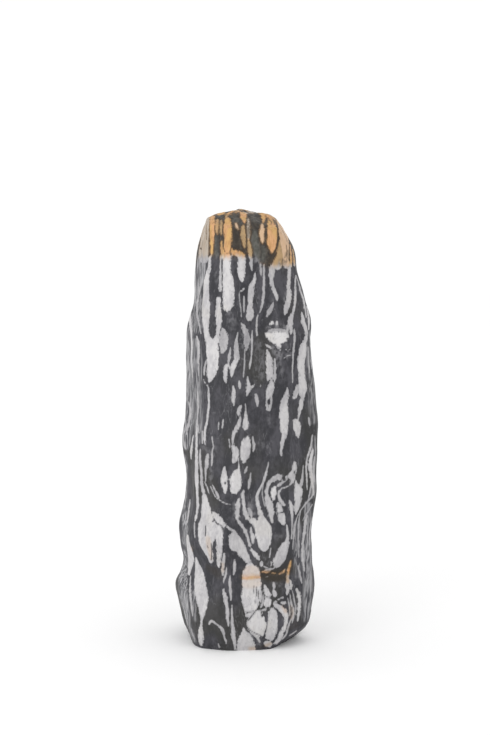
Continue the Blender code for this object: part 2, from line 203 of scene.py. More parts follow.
    (0.45, [(-14, 299, 3.4), (-9, 291, 3.6), (-4, 284, 3.8), (0, 276, 3.6), (4, 267, 3.4), (7, 257, 3),
     (9.6, 247, 3)]),
    (0.6, [(13, 238, 3), (17, 231, 4.2), (22.6, 225, 5), (27, 219, 4.6), (30, 213, 2)]),
    (0.2, [(51, 436, 1), (49, 424, 1.6), (46.6, 414, 2)]),
    (0.6, [(46, 412, 2.4), (43.5, 402, 2.8), (39.8, 391, 2.6), (35.4, 381, 2.6), (29.8, 370, 2.8),
     (25.2, 360, 3), (25.2, 350, 3.8), (27, 340, 4.4), (29.4, 330, 5), (32, 320, 5.4), (34.8, 310, 5.8),
     (38, 302, 7)]),
    (0.05, [(39.5, 388, 0.9), (37.2, 372, 1.2), (37.5, 360, 1.3), (39, 350, 1.3), (41, 340, 1.2),
     (44, 332, 0.9)]),
    # ring fold
    (0.25, [(61, 394, 5), (65, 398, 6), (70, 400, 6.6), (76, 400, 6.4), (79.6, 395, 3.6)]),
    (0.5, [(58, 392, 4.4), (53, 388, 4.6), (48.5, 380, 4), (46.5, 370, 4), (46.7, 360, 4.8), (49, 350, 6.6),
     (51.6, 340, 8.6), (55, 330, 8.2), (56.6, 320, 6.8), (57.8, 310, 5), (59.4, 300, 3)]),
    (1.0, [(65, 377, 3.4), (62.4, 369, 5.4), (62, 359, 5.6), (62, 352, 4)]),
    (0.55, [(104, 386, 1.2), (97, 380, 1.6), (88, 376, 1.8), (80, 374, 2), (75, 367, 2.8), (74.4, 358, 2.8),
     (77.4, 349, 3), (82.6, 341, 3.8), (87, 337, 3)]),
    (0.3, [(73, 381, 2.8), (77, 384, 4), (82, 388, 2.6), (90, 391, 1.2), (95, 397, 1)]),
    (0.6, [(72.6, 341, 3.4), (75.4, 331, 6.4), (77, 321, 7.6), (80, 311, 8.4), (82.4, 302, 7),
     (84, 295, 4)]),
    (0.55, [(92.4, 290, 1.8), (94, 276, 2.4), (94.4, 264, 3.2), (93.4, 254, 5), (88, 243, 8.4),
     (84, 232, 11), (80.4, 221, 12.6), (76, 210, 12.8), (71.6, 201, 9.6), (68, 195, 4.6)]),
    (0.6, [(100, 345, 2.4), (102, 338, 4), (103, 328, 4.2), (104.2, 318, 3.6), (104.6, 308, 2.2),
     (104.4, 295, 1.6), (104, 280, 1.5), (103.8, 258, 1.3)]),
    (0.5, [(109.4, 431, 3), (110.4, 422, 4.8), (109, 413, 5.4), (105, 406, 6), (98.6, 402, 4.6),
     (92, 400, 3.2)]),
    (0.5, [(105, 400, 6.4), (104.6, 393, 6.2), (103, 388, 4)]),
    (0.7, [(112.6, 389, 2), (114, 382, 3.6), (117.6, 374, 7.4), (119.4, 366, 9.6), (119.4, 356, 9.4),
     (118.4, 346, 8), (117, 336, 6.8), (115.8, 328, 5.6), (113.6, 320, 3.6), (112.4, 313, 1.6)]),
    (0.35, [(129.6, 424, 1), (128.8, 408, 1.8), (127.6, 394, 2.4), (125.6, 382, 3.2), (124, 374, 3.4)]),
    (0.2, [(-93, 384, 1), (-89, 376, 1.8), (-85.6, 367, 2), (-83, 360, 1)]),
    (0.4, [(-76, 381, 1), (-70.6, 371, 2.2), (-65, 362, 3), (-60.6, 353, 1.8)]),
    (0.1, [(-80, 377, 1.2), (-74, 364, 1.4), (-68, 355, 1.5), (-60, 349, 1.6), (-52, 344.5, 1.6),
     (-44, 342, 1.5), (-34, 340, 1.2)]),
    # channel and the broad pale field left of it
    (0.4, [(-101, 418, 1.4), (-100.5, 402, 3), (-100.5, 386, 3.4), (-99, 370, 3), (-96.5, 361, 3.4)]),
    (0.75, [(-94, 352, 5.5), (-92, 340, 8), (-90.5, 329, 10), (-90, 318, 12), (-88, 306, 14),
     (-87, 295, 17.6), (-88, 283, 20.6), (-89, 272, 20.6), (-90, 262, 18.6), (-90.6, 252, 16.5),
     (-89, 243, 14), (-86, 234, 12), (-83, 226, 9.6), (-81, 218, 7.4), (-79, 207, 5)]),
    (0.7, [(-72, 316, 5), (-65, 311, 7), (-57, 303, 8), (-52, 296, 7)]),
    (0.75, [(-70, 294, 12), (-64, 282, 13), (-60, 270, 10), (-59, 258, 7), (-59.6, 244, 6.6),
     (-60, 230, 5.6), (-61, 216, 5.2), (-61.5, 205, 4.2), (-61, 196, 1.6)]),
    (0.55, [(-42, 293, 3), (-36, 288, 3.4), (-28, 282, 3), (-22, 276, 2.4)]),
    (0.55, [(-30, 270, 8), (-25, 260, 13), (-21, 249, 16), (-14, 240, 14), (-7, 231, 11), (-1, 222, 9),
     (4, 213, 7)]),
    (0.8, [(12, 303, 5), (24, 300, 10), (34, 294, 17), (38.6, 284, 18.6), (40, 273, 18.4), (41, 261, 16.8),
     (41, 250, 13.6), (41.2, 241, 9), (41.4, 235, 4.4)]),
    (0.55, [(11, 288, 1.6), (12.6, 278, 4), (14.6, 268, 4.8), (15.6, 259, 3.6), (15, 251, 1.6)]),
    (0.3, [(57, 240, 1.2), (55.4, 228, 1.8), (53.4, 217, 1.2)]),
    (0.3, [(57, 208, 1), (58, 202, 2.2), (57, 196, 1)]),
    # foot, left and middle
    (0.85, [(-134, 254, 1.6), (-133, 240, 4), (-130, 226, 6.4), (-127.6, 212, 7.4), (-127, 199, 7.4),
     (-128, 186, 6.6), (-130, 174, 5), (-132, 161, 3)]),
    (0.8, [(-114, 206, 1.6), (-113, 194, 5), (-109, 182, 8.6), (-106, 171, 11.4), (-104.4, 160, 13),
     (-103.4, 148, 14.4), (-102, 136, 15), (-100.4, 122, 15), (-99.4, 112, 13), (-99, 101, 10),
     (-99.4, 91, 7.4), (-99.4, 80, 4.8), (-100, 71, 2.6), (-102, 61, 3), (-102.6, 51, 5), (-103, 41, 6),
     (-103, 29, 6.6), (-103, 18, 5.6), (-103, 8, 3)]),
    (0.6, [(-47.5, 240, 1), (-49, 228, 2.4), (-50, 214, 3.4), (-51, 202, 3.8), (-52, 190, 3.6),
     (-52.4, 178, 2.4)]),
    (0.4, [(-25.5, 219, 1.2), (-25.5, 207, 3), (-26, 196, 3.2), (-27, 187, 2.6), (-28, 180, 1.2)]),
    (0.5, [(-43.5, 196, 1.2), (-45, 186, 2.4), (-47, 176, 2.8), (-50, 167, 1.8), (-50.5, 160, 1)]),
    (0.4, [(-36, 177, 1.8), (-36, 168, 3.2), (-36, 158, 3.4), (-35.4, 146, 3), (-34, 134, 2.8),
     (-33.5, 122, 1.8)]),
    (0.65, [(-50.6, 147, 1.6), (-49.6, 136, 4.2), (-46.6, 125, 4.6), (-44, 114, 3.6), (-42, 102, 3.6),
     (-41.6, 90, 4), (-41.4, 78, 3.4), (-39.6, 68, 2.2), (-39, 60, 1)]),
    (0.6, [(-31.5, 110, 1.2), (-31.6, 98, 2), (-31.4, 82, 3), (-31, 66, 3.6), (-29.6, 52, 4),
     (-28.4, 38, 4.4), (-26.4, 26, 3.8), (-25, 14, 3.2), (-25, 4, 2.4)]),
    (0.35, [(-84, 62, 2), (-80, 69, 3.2), (-75, 70, 3), (-70, 66, 2.4), (-64, 61, 2.2), (-58, 57, 3),
     (-53, 50, 3.6), (-50, 42, 2.8), (-49, 34, 2), (-46, 27, 2.4), (-44.6, 18, 1.6)]),
    (0.2, [(-63, 16, 1.4), (-61, 6, 1.8)]),
    (0.95, [(9, 202, 7), (11.6, 194, 12.4), (12.6, 184, 18), (12.6, 174, 20.8), (12.6, 162, 21.6),
     (13, 150, 22), (12.4, 138, 22.2), (12, 127, 22.2), (11, 117, 20), (10, 108, 17), (9, 101, 13.4),
     (8, 96, 10)]),
    (0.6, [(35, 207, 3.4), (35, 201, 4.4)]),
    (0.3, [(41, 197, 1.6), (47, 193, 2), (55, 190, 1.8)]),
    (0.85, [(37, 184, 1.6), (45, 182, 2.6), (53, 181, 1.8)]),
    (0.8, [(59, 177, 1.2), (66, 176, 2)]),
    (0.8, [(76, 173, 1.4), (84, 177, 2.4), (89, 183, 1.6)]),
    (0.6, [(44, 168, 1), (50, 170, 1.4)]),
    (0.9, [(102, 203, 1.6), (100, 192, 3), (97, 181, 3.6)]),
    (0.35, [(44, 187, 2), (54, 187, 2.4), (63, 189, 1.8)]),
    # broken pale pieces at the right of the foot
    (0.6, [(-6, 56, 2), (-5, 47, 6), (-3, 38, 11), (-1, 28, 16), (0, 16, 19.4), (1, 4, 21)]),
    (0.45, [(6, 53, 1.6), (13, 45, 2.6), (21, 37, 3.2), (27, 30, 3.2), (31, 21, 2.6)]),
    (0.6, [(1, 85, 2.4), (6, 86, 5), (12, 88, 5), (18, 92, 4)]),
    (0.9, [(30, 92, 5), (26, 86, 11), (24, 77, 17), (22.6, 68, 20.6), (23, 60, 20), (26, 52, 17),
     (30, 45, 12), (35, 40, 7)]),
    (0.8, [(44, 66, 3), (43, 54, 3)]),
    (0.75, [(59, 97, 4), (60, 89, 9), (60.6, 79, 11.4), (60, 67, 12), (59, 55, 12.6), (57, 43, 12.6),
     (55, 33, 11)]),
    (0.95, [(50, 120, 6), (49.8, 114, 9.4), (48.4, 109, 8.4)]),
    (0.7, [(42.6, 151, 1.6), (44.6, 144, 4.6), (47.4, 136, 7), (50, 131, 7.4), (54, 127, 3)]),
    (0.5, [(64, 154, 3), (64.6, 147, 3.4)]),
    (0.65, [(62.4, 141, 2), (65, 135, 4.6), (66, 129, 5.4)]),
    (0.7, [(34.6, 138, 1.6), (34.6, 126, 2.4), (34, 113, 2)]),
    (0.4, [(38, 138, 1.4), (38, 125, 2.6), (37, 112, 3), (35, 104, 2.6)]),
    (0.35, [(76, 119, 2), (70, 114, 3), (64, 111, 2.6)]),
    (0.4, [(33, 97, 2.4), (39, 96, 3.4), (44, 97, 2.4)]),
    (0.6, [(79, 121, 2), (83, 121, 2.4)]),
    (0.7, [(81, 110, 3), (87, 108, 4)]),
    (0.75, [(64, 107, 2.4), (70, 104, 5), (77, 98, 6), (84, 91, 6.4), (90, 82, 6), (92.6, 73, 5.4),
     (91.4, 63, 4.6), (88, 53, 4.8), (84, 43, 5), (79, 32, 5.2), (74, 21, 5), (69, 13, 4)]),
    (0.4, [(106, 78, 1.6), (103, 66, 1.8), (98, 55, 2.2), (94, 43, 2.6), (91, 33, 2.4), (84, 23, 2)]),
    (0.5, [(46, 16, 6), (52, 13, 8.4), (55, 10, 6)]),
    (0.6, [(97, 176, 3), (95, 166, 3.6), (94.6, 156, 4.2), (94.6, 146, 4.6), (95, 136, 4), (94, 127, 2.2)]),
    (0.7, [(101, 156, 2.6), (103, 147, 3.6), (103.4, 139, 2.4)]),
    (0.65, [(116, 136, 3), (119.6, 127, 4.8), (121.6, 114, 4.6), (121.6, 100, 4.6), (121.4, 86, 4.2),
     (120.4, 74, 3), (118, 63, 1.8)]),
    (0.4, [(100, 128, 1), (102, 112, 1.6), (105, 96, 2.6), (108, 83, 3.4), (108, 70, 2.4), (106, 58, 1.4)]),
    (0.2, [(106, 134, 0.9), (109, 118, 1.3), (111.4, 104, 1.3), (113.4, 90, 1.4), (113, 76, 1.2)]),
    (0.15, [(95, 118, 1), (98, 104, 1.6), (100, 90, 1.8), (100, 76, 1.4)]),
    (0.4, [(100, 28, 1.6), (107, 32, 2.2), (116, 38, 1.6)]),
    # left flank
    (0.35, [(-84, 452, 2), (-86.6, 444, 4), (-88, 434, 4.8), (-88, 423, 4), (-90.5, 412, 2.2),
     (-91, 398, 1.6), (-90.5, 386, 1.2)]),
    (0.3, [(-73, 471, 1.4), (-75.5, 458, 2), (-76, 447, 2.4), (-76, 436, 2.4), (-77, 424, 1.2)]),
    (0.35, [(-100, 838, 1), (-103.5, 820, 1.4), (-108, 800, 1.9), (-111, 785, 2.2), (-111, 768, 2.4),
     (-107.6, 752, 1.9), (-104, 736, 1.6), (-101, 722, 1.3)]),
    (0.5, [(-110, 714, 1.8), (-108, 703, 2.4), (-106, 688, 2.4), (-106.5, 672, 2.2), (-107.5, 656, 1.8)]),
    (0.85, [(-128, 770, 2), (-129, 752, 3), (-127, 735, 3), (-124, 715, 2.8), (-123, 692, 2.6),
     (-123.5, 665, 2.6), (-122, 642, 2.2), (-121, 618, 1.6)]),
    (0.2, [(-106, 650, 1.2), (-107, 638, 1.6), (-106, 625, 1.2)]),
    (0.35, [(-110, 590, 1.4), (-109, 570, 2), (-108, 550, 2.2), (-110, 530, 1.8), (-108, 510, 1.8),
     (-106, 494, 1.4)]),
    (0.35, [(-131, 560, 1.6), (-128, 545, 2.2), (-127, 530, 2.4), (-130, 515, 2.4), (-134, 500, 2.2),
     (-136, 484, 1.6)]),
    (0.35, [(-98, 502, 1.4), (-98, 487, 1.8), (-98.5, 473, 1.3)]),
    (0.7, [(-119, 488, 1.2), (-122, 470, 2), (-124.6, 452, 3), (-126, 440, 2.4), (-126.4, 428, 1.2)]),
    (0.8, [(-112, 525, 1.4), (-111.6, 500, 2), (-111.5, 478, 2.4), (-111.5, 456, 3), (-111.8, 434, 3.6),
     (-112.4, 412, 4.2), (-112.5, 391, 4.6), (-111.6, 374, 4.2), (-110.6, 356, 3.4), (-109.5, 338, 3),
     (-110.6, 320, 3), (-113.4, 305, 2.6), (-116, 292, 2.2)]),
    (0.35, [(-117.6, 288, 1.6), (-117.4, 272, 1.8), (-116, 256, 1.4)]),
    (0.4, [(-104, 460, 1.4), (-103.6, 440, 2.6), (-102.6, 420, 2.6), (-101.8, 402, 1.4)]),
    (0.5, [(-130, 330, 1.2), (-131.4, 312, 1.8), (-133, 292, 1.8), (-135, 276, 1.2)]),
    (0.4, [(-127, 158, 1.4), (-127.4, 140, 2.4), (-126.6, 122, 2.8), (-125.4, 106, 2.6), (-123, 90, 2),
     (-121, 76, 1.2)]),
    # right flank
    (0.75, [(152, 492, 1.2), (149, 470, 2), (145, 456, 2.4), (140.4, 444, 2.4), (137.6, 432, 2.2),
     (136.6, 415, 2.2), (136.8, 398, 2), (138.2, 380, 1.8), (139.6, 366, 1.2)]),
    (0.85, [(152, 458, 2), (150, 446, 4), (147, 432, 4.6), (147, 415, 4.6), (149, 398, 4.4),
     (151.6, 382, 3.4), (154, 366, 2.6), (155.4, 352, 1.6)]),
    (0.45, [(148.6, 378, 1.2), (146.6, 366, 1.6), (145, 354, 1.8), (142.6, 346, 1.2)]),
    (0.5, [(156, 358, 2), (150, 349, 2.6), (143, 342, 2.4), (136, 334, 2), (128, 325, 1.6), (121, 315, 1.4),
     (115.6, 304, 1.3), (112, 290, 1.3), (110.4, 275, 1.3), (110, 258, 1.1)]),
    (0.35, [(125, 318, 1), (121.6, 305, 1.3), (120, 290, 1.6), (119.8, 272, 1.6), (120, 254, 1.3),
     (121, 232, 1.4), (121, 210, 1.2)]),
    (0.45, [(152, 300, 1), (148, 280, 1.4), (146, 258, 1.6), (146, 236, 1.2)]),
    (0.3, [(141, 262, 1), (140, 244, 1.4), (139, 226, 1.4), (140, 206, 1.1)]),
    (0.6, [(157, 440, 1.2), (155.6, 420, 1.4), (155, 400, 1.4), (157, 380, 1.2)]),
    (0.2, [(152, 330, 1.4), (144, 318, 1.6), (136, 308, 1.4), (129, 296, 1.2)]),
    (0.2, [(109, 292, 1.2), (108.6, 270, 1.5), (108, 250, 1.4), (106, 232, 1.1)]),
    (0.5, [(139, 306, 1.8), (136, 294, 3.2), (134.4, 282, 4), (132.8, 270, 3.8), (131.2, 258, 3),
     (129.6, 246, 2.4), (129, 230, 2.6), (129, 215, 3), (129.6, 203, 3.2), (131, 190, 2.4),
     (133.6, 176, 1.4)]),
    (0.2, [(119, 190, 1.3), (122, 176, 2), (125, 162, 2), (128, 149, 1.4)]),
    (0.7, [(119, 832, 1.2), (123, 816, 1.8), (127.6, 802, 2.2), (131.4, 786, 2.4), (135, 770, 2),
     (137.4, 756, 1.6)]),
    (0.8, [(138, 780, 1.4), (141, 768, 2), (143, 755, 2.4), (143.6, 742, 2.2), (143.4, 728, 1.4)]),
    (0.4, [(113, 850, 1), (118, 836, 1.2), (124, 820, 1.2)]),
    (0.3, [(148, 700, 1.2), (149, 670, 1.6), (150, 640, 1.4)]),
    (0.5, [(141, 690, 1.2), (142.6, 660, 1.6), (144, 630, 1.4)]),
]

# Dark cracks and slits that cut the pale marks.
cracks = [
    [(60, 894, 4), (56, 885, 4), (52, 876, 3)],
    [(-60.5, 974, 0.9), (-60, 958, 1.2), (-61.5, 944, 1.2)],
    [(-72, 990, 2), (-66, 986, 4), (-56, 986, 5), (-50, 984, 3)],
    [(-30, 990, 4), (-23, 986, 5), (-19, 978, 4)],
    [(-16, 996, 1.6), (-15, 984, 2.4), (-14, 974, 3)],
    [(-36, 988, 1.2), (-33, 981, 2)],
    [(-52, 970, 0.8), (-52, 950, 0.9), (-51.4, 932, 0.9), (-50, 914, 1), (-45, 904, 1), (-37, 904, 1.1),
     (-33, 914, 0.9)],
    [(9, 994, 4), (16, 990, 5), (26, 988, 5)],
    [(-37, 988, 2.6), (-33, 984, 3)],
    [(51, 981, 0.8), (54, 975, 0.9), (58, 972, 0.9), (57, 966, 0.7)],
    [(60, 983, 0.8), (64, 974, 1), (65, 966, 0.8)],
    [(70, 985, 1.4), (71, 966, 1.6), (71.5, 945, 1.8), (70.5, 925, 2), (68, 912, 2.4), (60, 898, 3),
     (52, 893, 4)],
    [(-89, 968, 0.3), (-88.6, 950, 0.4), (-88.6, 930, 0.4)],
    [(-82.6, 980, 0.6), (-82, 958, 0.8), (-82.4, 935, 1), (-83, 912, 1), (-83, 896, 0.9)],
    [(-105, 916, 2), (-101, 910, 1.6)],
    [(84, 948, 0.3), (90, 938, 0.4), (94, 925, 0.3)],
    [(97.6, 925, 1), (98, 905, 1.2), (97.6, 885, 1.4)],
    [(91, 920, 0.3), (91.6, 906, 0.4), (88, 894, 0.4), (80, 885, 0.3)],
    [(-54, 893, 0.8), (-54, 876, 1), (-53.6, 858, 1.1)],
    [(-53.6, 806, 0.8), (-53.6, 796, 1)],
    [(46, 612, 1), (52, 618, 1.3), (58, 624, 1)],
    [(61.6, 660, 0.7), (62, 645, 0.8), (62, 632, 0.7)],
    [(53, 575, 2), (53, 566, 2.6)],
    [(-14.6, 482, 1.2), (-14.6, 468, 1.3), (-14.4, 452, 1.3), (-14, 438, 1.1)],
    [(-47.3, 390, 1.3), (-47.3, 386, 1.5)],
    [(109.5, 412, 1.3), (109, 407, 1.4)],
    [(-81, 452, 0.9), (-81, 436, 1), (-81, 420, 1)],
    [(69, 386, 1), (69.4, 374, 1), (69.4, 360, 1.1), (70, 350, 1.1)],
    [(64, 389, 0.9), (70, 391, 1), (76, 391.6, 1), (81, 395, 1), (85, 400, 1)],
    [(70, 378, 0.9), (76, 378.6, 1), (84, 382, 1.1), (92, 386, 1.2)],
    [(94, 398, 1.2), (99, 394, 1.2), (100, 388, 1.2)],
    [(70, 346, 1), (77, 342, 1), (82, 335, 1.1), (91, 331, 1.2)],
    [(66, 322, 0.8), (74, 319, 1), (82, 320, 1), (88, 316, 0.8)],
    [(112, 396, 1), (109.6, 388, 1.2), (108.6, 378, 1)],
    [(125.6, 352, 0.7), (125, 338, 0.8), (122, 326, 0.8)],
    [(-75, 300, 1), (-70, 303, 1.3), (-66, 298, 1.6), (-59, 296, 1.2)],
    [(-57, 297, 1.2), (-54, 292, 1.8), (-50, 286, 1.6)],
    [(-91, 288, 0.9), (-90.4, 276, 1.2), (-91, 266, 0.8)],
    [(-86, 246, 0.9), (-84, 240, 1.1)],
    [(-78, 252, 0.8), (-76, 238, 1), (-76.6, 222, 1), (-78, 210, 1)],
    [(-46, 300, 1.6), (-38, 296, 1.8), (-30, 289, 2), (-22, 284, 1.8), (-14, 276, 1.7), (-8, 266, 1.6),
     (-2, 254, 1.8), (3, 243, 1.9), (8, 232, 2.1), (12, 221, 2.2), (16, 210, 2.6), (20, 202, 2)],
    [(-16, 310, 1.3), (-10, 302, 1.5), (-2, 294, 1.6), (4, 286, 1.7), (8, 276, 1.6), (10, 264, 1.5),
     (13, 251, 1.6), (18, 242, 2), (24, 235, 2)],
    [(-50, 283, 1.2), (-46, 276, 1.8), (-47, 266, 1.6), (-50, 258, 1.4)],
    [(-73.6, 250, 1), (-72, 244, 1.8), (-70.6, 234, 2.4), (-70.5, 222, 2.8), (-70.5, 210, 3),
     (-71, 198, 3)],
    [(-46, 272, 3), (-45.4, 260, 4), (-45.5, 248, 4), (-45.5, 236, 4)],
    [(-30, 232, 5), (-24, 228, 5), (-28, 220, 6)],
    [(2, 304, 1.6), (6, 296, 2), (10, 291, 1.6)],
    [(13, 337, 3), (18, 325, 4), (22, 314, 4), (25, 305, 2.2)],
    [(33, 345, 1.8), (38, 333, 2), (43, 320, 2.2), (48, 309, 2.2), (54, 298, 2.4), (60, 288, 2.4)],
    [(-8, 64, 1.1), (-1, 56, 1), (8, 46, 1), (16, 37, 1.1), (20, 26, 1.4), (23, 14, 2), (26, 4, 3)],
    [(2, 60, 0.9), (12, 49, 1), (22, 42, 1.1), (33, 36, 1.8), (38, 28, 2.8)],
    [(-4, 95, 0.8), (6, 94, 1), (13, 95, 1.2)],
    [(-4, 70, 1), (3, 73, 1), (9, 79, 1.1), (16, 88, 1.1), (22, 96, 1), (30, 103, 0.9), (35, 112, 0.8),
     (37, 126, 0.7), (39, 142, 0.8)],
    [(40, 126, 0.8), (48, 124.6, 0.9), (58, 121, 0.9)],
    [(-1, 95, 0.8), (8, 92, 0.7), (17, 96, 0.7)],
    [(18, 150, 0.4), (18, 142, 0.6), (18.4, 134, 0.4)],
    [(24, 148, 0.4), (24.4, 138, 0.7), (24.6, 128, 0.5)],
    [(28.4, 140, 0.4), (28.6, 130, 0.7), (28.4, 122, 0.4)],
    [(21, 119, 0.7), (21.4, 114, 0.7)],
    [(32, 100, 0.9), (36, 94, 1), (35, 88, 1)],
    [(39, 106, 0.9), (46, 101, 1.1), (54, 102, 1), (60, 106, 0.9), (60, 116, 0.8)],
    [(47, 98, 1), (48.6, 88, 1.1), (48.6, 74, 1), (47, 60, 1), (45, 48, 1.2), (41, 36, 1.5), (38, 24, 2.6),
     (35, 12, 3)],
    [(60, 101, 1), (68, 94, 1.2), (74, 86, 1.4)],
    [(56, 126, 1.2), (62, 120, 1.3), (70, 117, 1.4), (78, 112, 1.3)],
    [(57, 150, 1.2), (59, 138, 1.2), (60, 127, 1.1)],
    [(37, 82, 2), (39, 86, 3), (41, 90, 2.4)],
    [(40, 26, 1.6), (50, 24, 1.3), (60, 21, 1.4), (68, 23, 1.6)],
    [(62, 20, 1.2), (64, 10, 1.4)],
    [(104, 96, 0.9), (105, 84, 1), (104.6, 72, 1)],
]

# Smoky lighter patches in the dark, as (strength, stroke), laid softly.
haze = [
    (0.6, [(-28, 985, 5), (-22, 972, 6), (-8, 968, 5)]),
    (0.25, [(14, 985, 5), (24, 980, 6)]),
    (0.35, [(21, 945, 3), (21, 920, 4), (22, 895, 3)]),
    (0.5, [(-68, 860, 3), (-66, 842, 3)]),
    (0.6, [(-8, 723, 4), (-8, 705, 4.5), (-9, 688, 2)]),
    (0.8, [(4, 723, 4), (4, 708, 3.6), (3, 694, 2)]),
    (0.5, [(-44, 778, 5), (-36, 772, 6)]),
    (0.5, [(30, 878, 4), (34, 862, 4)]),
    (1.0, [(48, 736, 3), (58, 738, 4), (76, 739, 4), (92, 737, 3)]),
    (0.7, [(-38, 750, 2), (-33, 757, 2), (-26, 757, 2), (-22, 750, 2)]),
    (0.5, [(-37, 741, 2), (-32, 735, 2), (-26, 735, 2)]),
    (0.5, [(-31, 747, 2.4), (-28, 745, 2.4)]),
    (1.0, [(20, 950, 4), (19, 935, 7), (22, 912, 8), (26, 885, 7)]),
    (0.8, [(38, 918, 3), (40, 900, 5), (36, 886, 5)]),
    (0.8, [(-67, 935, 4), (-66, 915, 4), (-66, 897, 4)]),
    (0.6, [(-60, 984, 5), (-56, 990, 4)]),
    (0.5, [(-6, 978, 3), (0, 970, 3)]),
    (0.9, [(70, 873, 4), (80, 871, 4)]),
    (0.7, [(60, 796, 3), (64, 790, 3)]),
    (0.8, [(92, 812, 5), (88, 798, 5)]),
    (1.0, [(60, 690, 4), (68, 681, 6), (78, 676, 5), (72, 666, 5)]),
    (0.8, [(70, 664, 4), (76, 650, 4), (80, 640, 3)]),
    (0.7, [(88, 668, 3), (94, 672, 4), (100, 676, 3)]),
    (0.35, [(90, 700, 4), (96, 690, 6), (92, 680, 5)]),
    (0.6, [(-81, 424, 4), (-80, 405, 5), (-79, 386, 4)]),
    (0.6, [(-26, 342, 3), (-25, 325, 3.4), (-25, 308, 3)]),
    (0.5, [(52, 540, 2.4), (52, 525, 3)]),
    (0.55, [(30, 706, 5), (33, 685, 7), (35, 655, 7), (34, 625, 6)]),
    (0.45, [(22, 700, 4), (23, 660, 5), (22, 620, 4)]),
    (0.4, [(-69, 470, 3), (-69, 456, 3)]),
    (0.4, [(80, 640, 4), (84, 625, 4)]),
    (0.8, [(12, 345, 4), (10, 330, 6), (16, 318, 5)]),
    (0.4, [(30, 480, 4), (44, 470, 4), (56, 478, 4)]),
    (0.7, [(80, 336, 3), (86, 346, 3)]),
    (0.5, [(-96, 464, 5), (-86, 460, 5), (-72, 450, 4)]),
    (0.4, [(40, 258, 2), (60, 275, 3), (72, 262, 4), (84, 270, 3)]),
    (0.5, [(36, 222, 3), (44, 215, 4), (50, 206, 3)]),
    (0.45, [(110, 120, 3), (108, 106, 4), (112, 92, 3)]),
    (0.5, [(30, 24, 3), (30, 14, 4)]),
    (0.5, [(98, 112, 3), (102, 96, 4), (100, 82, 3)]),
    (0.5, [(58, 158, 4), (74, 152, 4), (84, 146, 4)]),
]

# Finely laminated grey stretches of the two flanks, as (strength, stroke).
laminated = [
    (1.0, [(-99, 890, 10), (-102, 870, 13), (-106, 845, 12), (-111, 815, 8), (-115, 790, 7)]),
    (0.6, [(-106, 800, 8), (-110, 770, 12), (-112, 735, 14)]),
    (1.0, [(-132, 745, 6), (-131, 700, 8), (-130, 650, 9), (-130, 600, 10), (-132, 560, 13), (-134, 520, 14),
     (-137, 480, 12), (-138, 455, 7)]),
    (0.7, [(-112, 700, 9), (-110, 650, 11), (-109, 600, 10), (-108, 560, 11), (-108, 520, 9),
     (-107, 480, 8)]),
    (1.0, [(-141, 430, 4), (-140, 390, 4), (-141, 345, 5), (-142, 300, 7), (-141, 265, 8), (-143, 230, 7)]),
    (1.0, [(-146, 200, 8), (-147, 160, 11), (-145, 120, 12), (-141, 90, 12), (-135, 60, 9), (-127, 35, 7),
     (-120, 12, 5)]),
    (0.7, [(-118, 130, 4), (-119, 100, 5), (-117, 70, 5)]),
    (0.5, [(116, 290, 8), (118, 250, 9), (118, 210, 9), (120, 170, 8)]),
    (0.8, [(140, 330, 8), (140, 290, 9), (139, 240, 9), (141, 190, 10), (143, 140, 10), (141, 100, 10),
     (137, 65, 7)]),
    (0.6, [(143, 720, 4), (146, 660, 8), (148, 610, 9), (151, 560, 7), (155, 520, 6)]),
    (0.7, [(156, 480, 5), (157, 440, 5), (156, 400, 6), (154, 350, 5)]),
]

# Rusty stain below the crown, as (strength, stroke).
stain = [
    (0.85, [(-9, 171, 3.6), (4, 171, 5), (18, 171, 5), (33, 170, 3.6)]),
    (0.45, [(-8, 174, 7), (12, 173, 9), (32, 172, 7)]),
    (0.22, [(0, 190, 8), (12, 190, 12), (24, 190, 8)]),
    (0.2, [(-6, 156, 7), (12, 154, 9), (30, 156, 7)]),
    (0.9, [(36, 183, 5), (52, 179, 6), (66, 175, 6), (88, 178, 6)]),
    (1.0, [(103, 204, 3), (100, 190, 5), (96, 174, 5)]),
    (0.6, [(92, 178, 4), (92, 166, 4.6), (95, 156, 4)]),
    (0.3, [(-52, 204, 4), (-52.5, 188, 4)]),
    (0.22, [(-85, 262, 5), (-83, 246, 6), (-80, 230, 5), (-78, 214, 4)]),
    (0.35, [(101, 96, 4), (104, 84, 5), (103, 72, 4)]),
    (0.3, [(84, 100, 4), (91, 88, 4)]),
    (0.3, [(-122, 234, 4), (-120, 222, 4)]),
    (0.4, [(10, 4, 4), (34, 6, 4), (56, 14, 4)]),
]

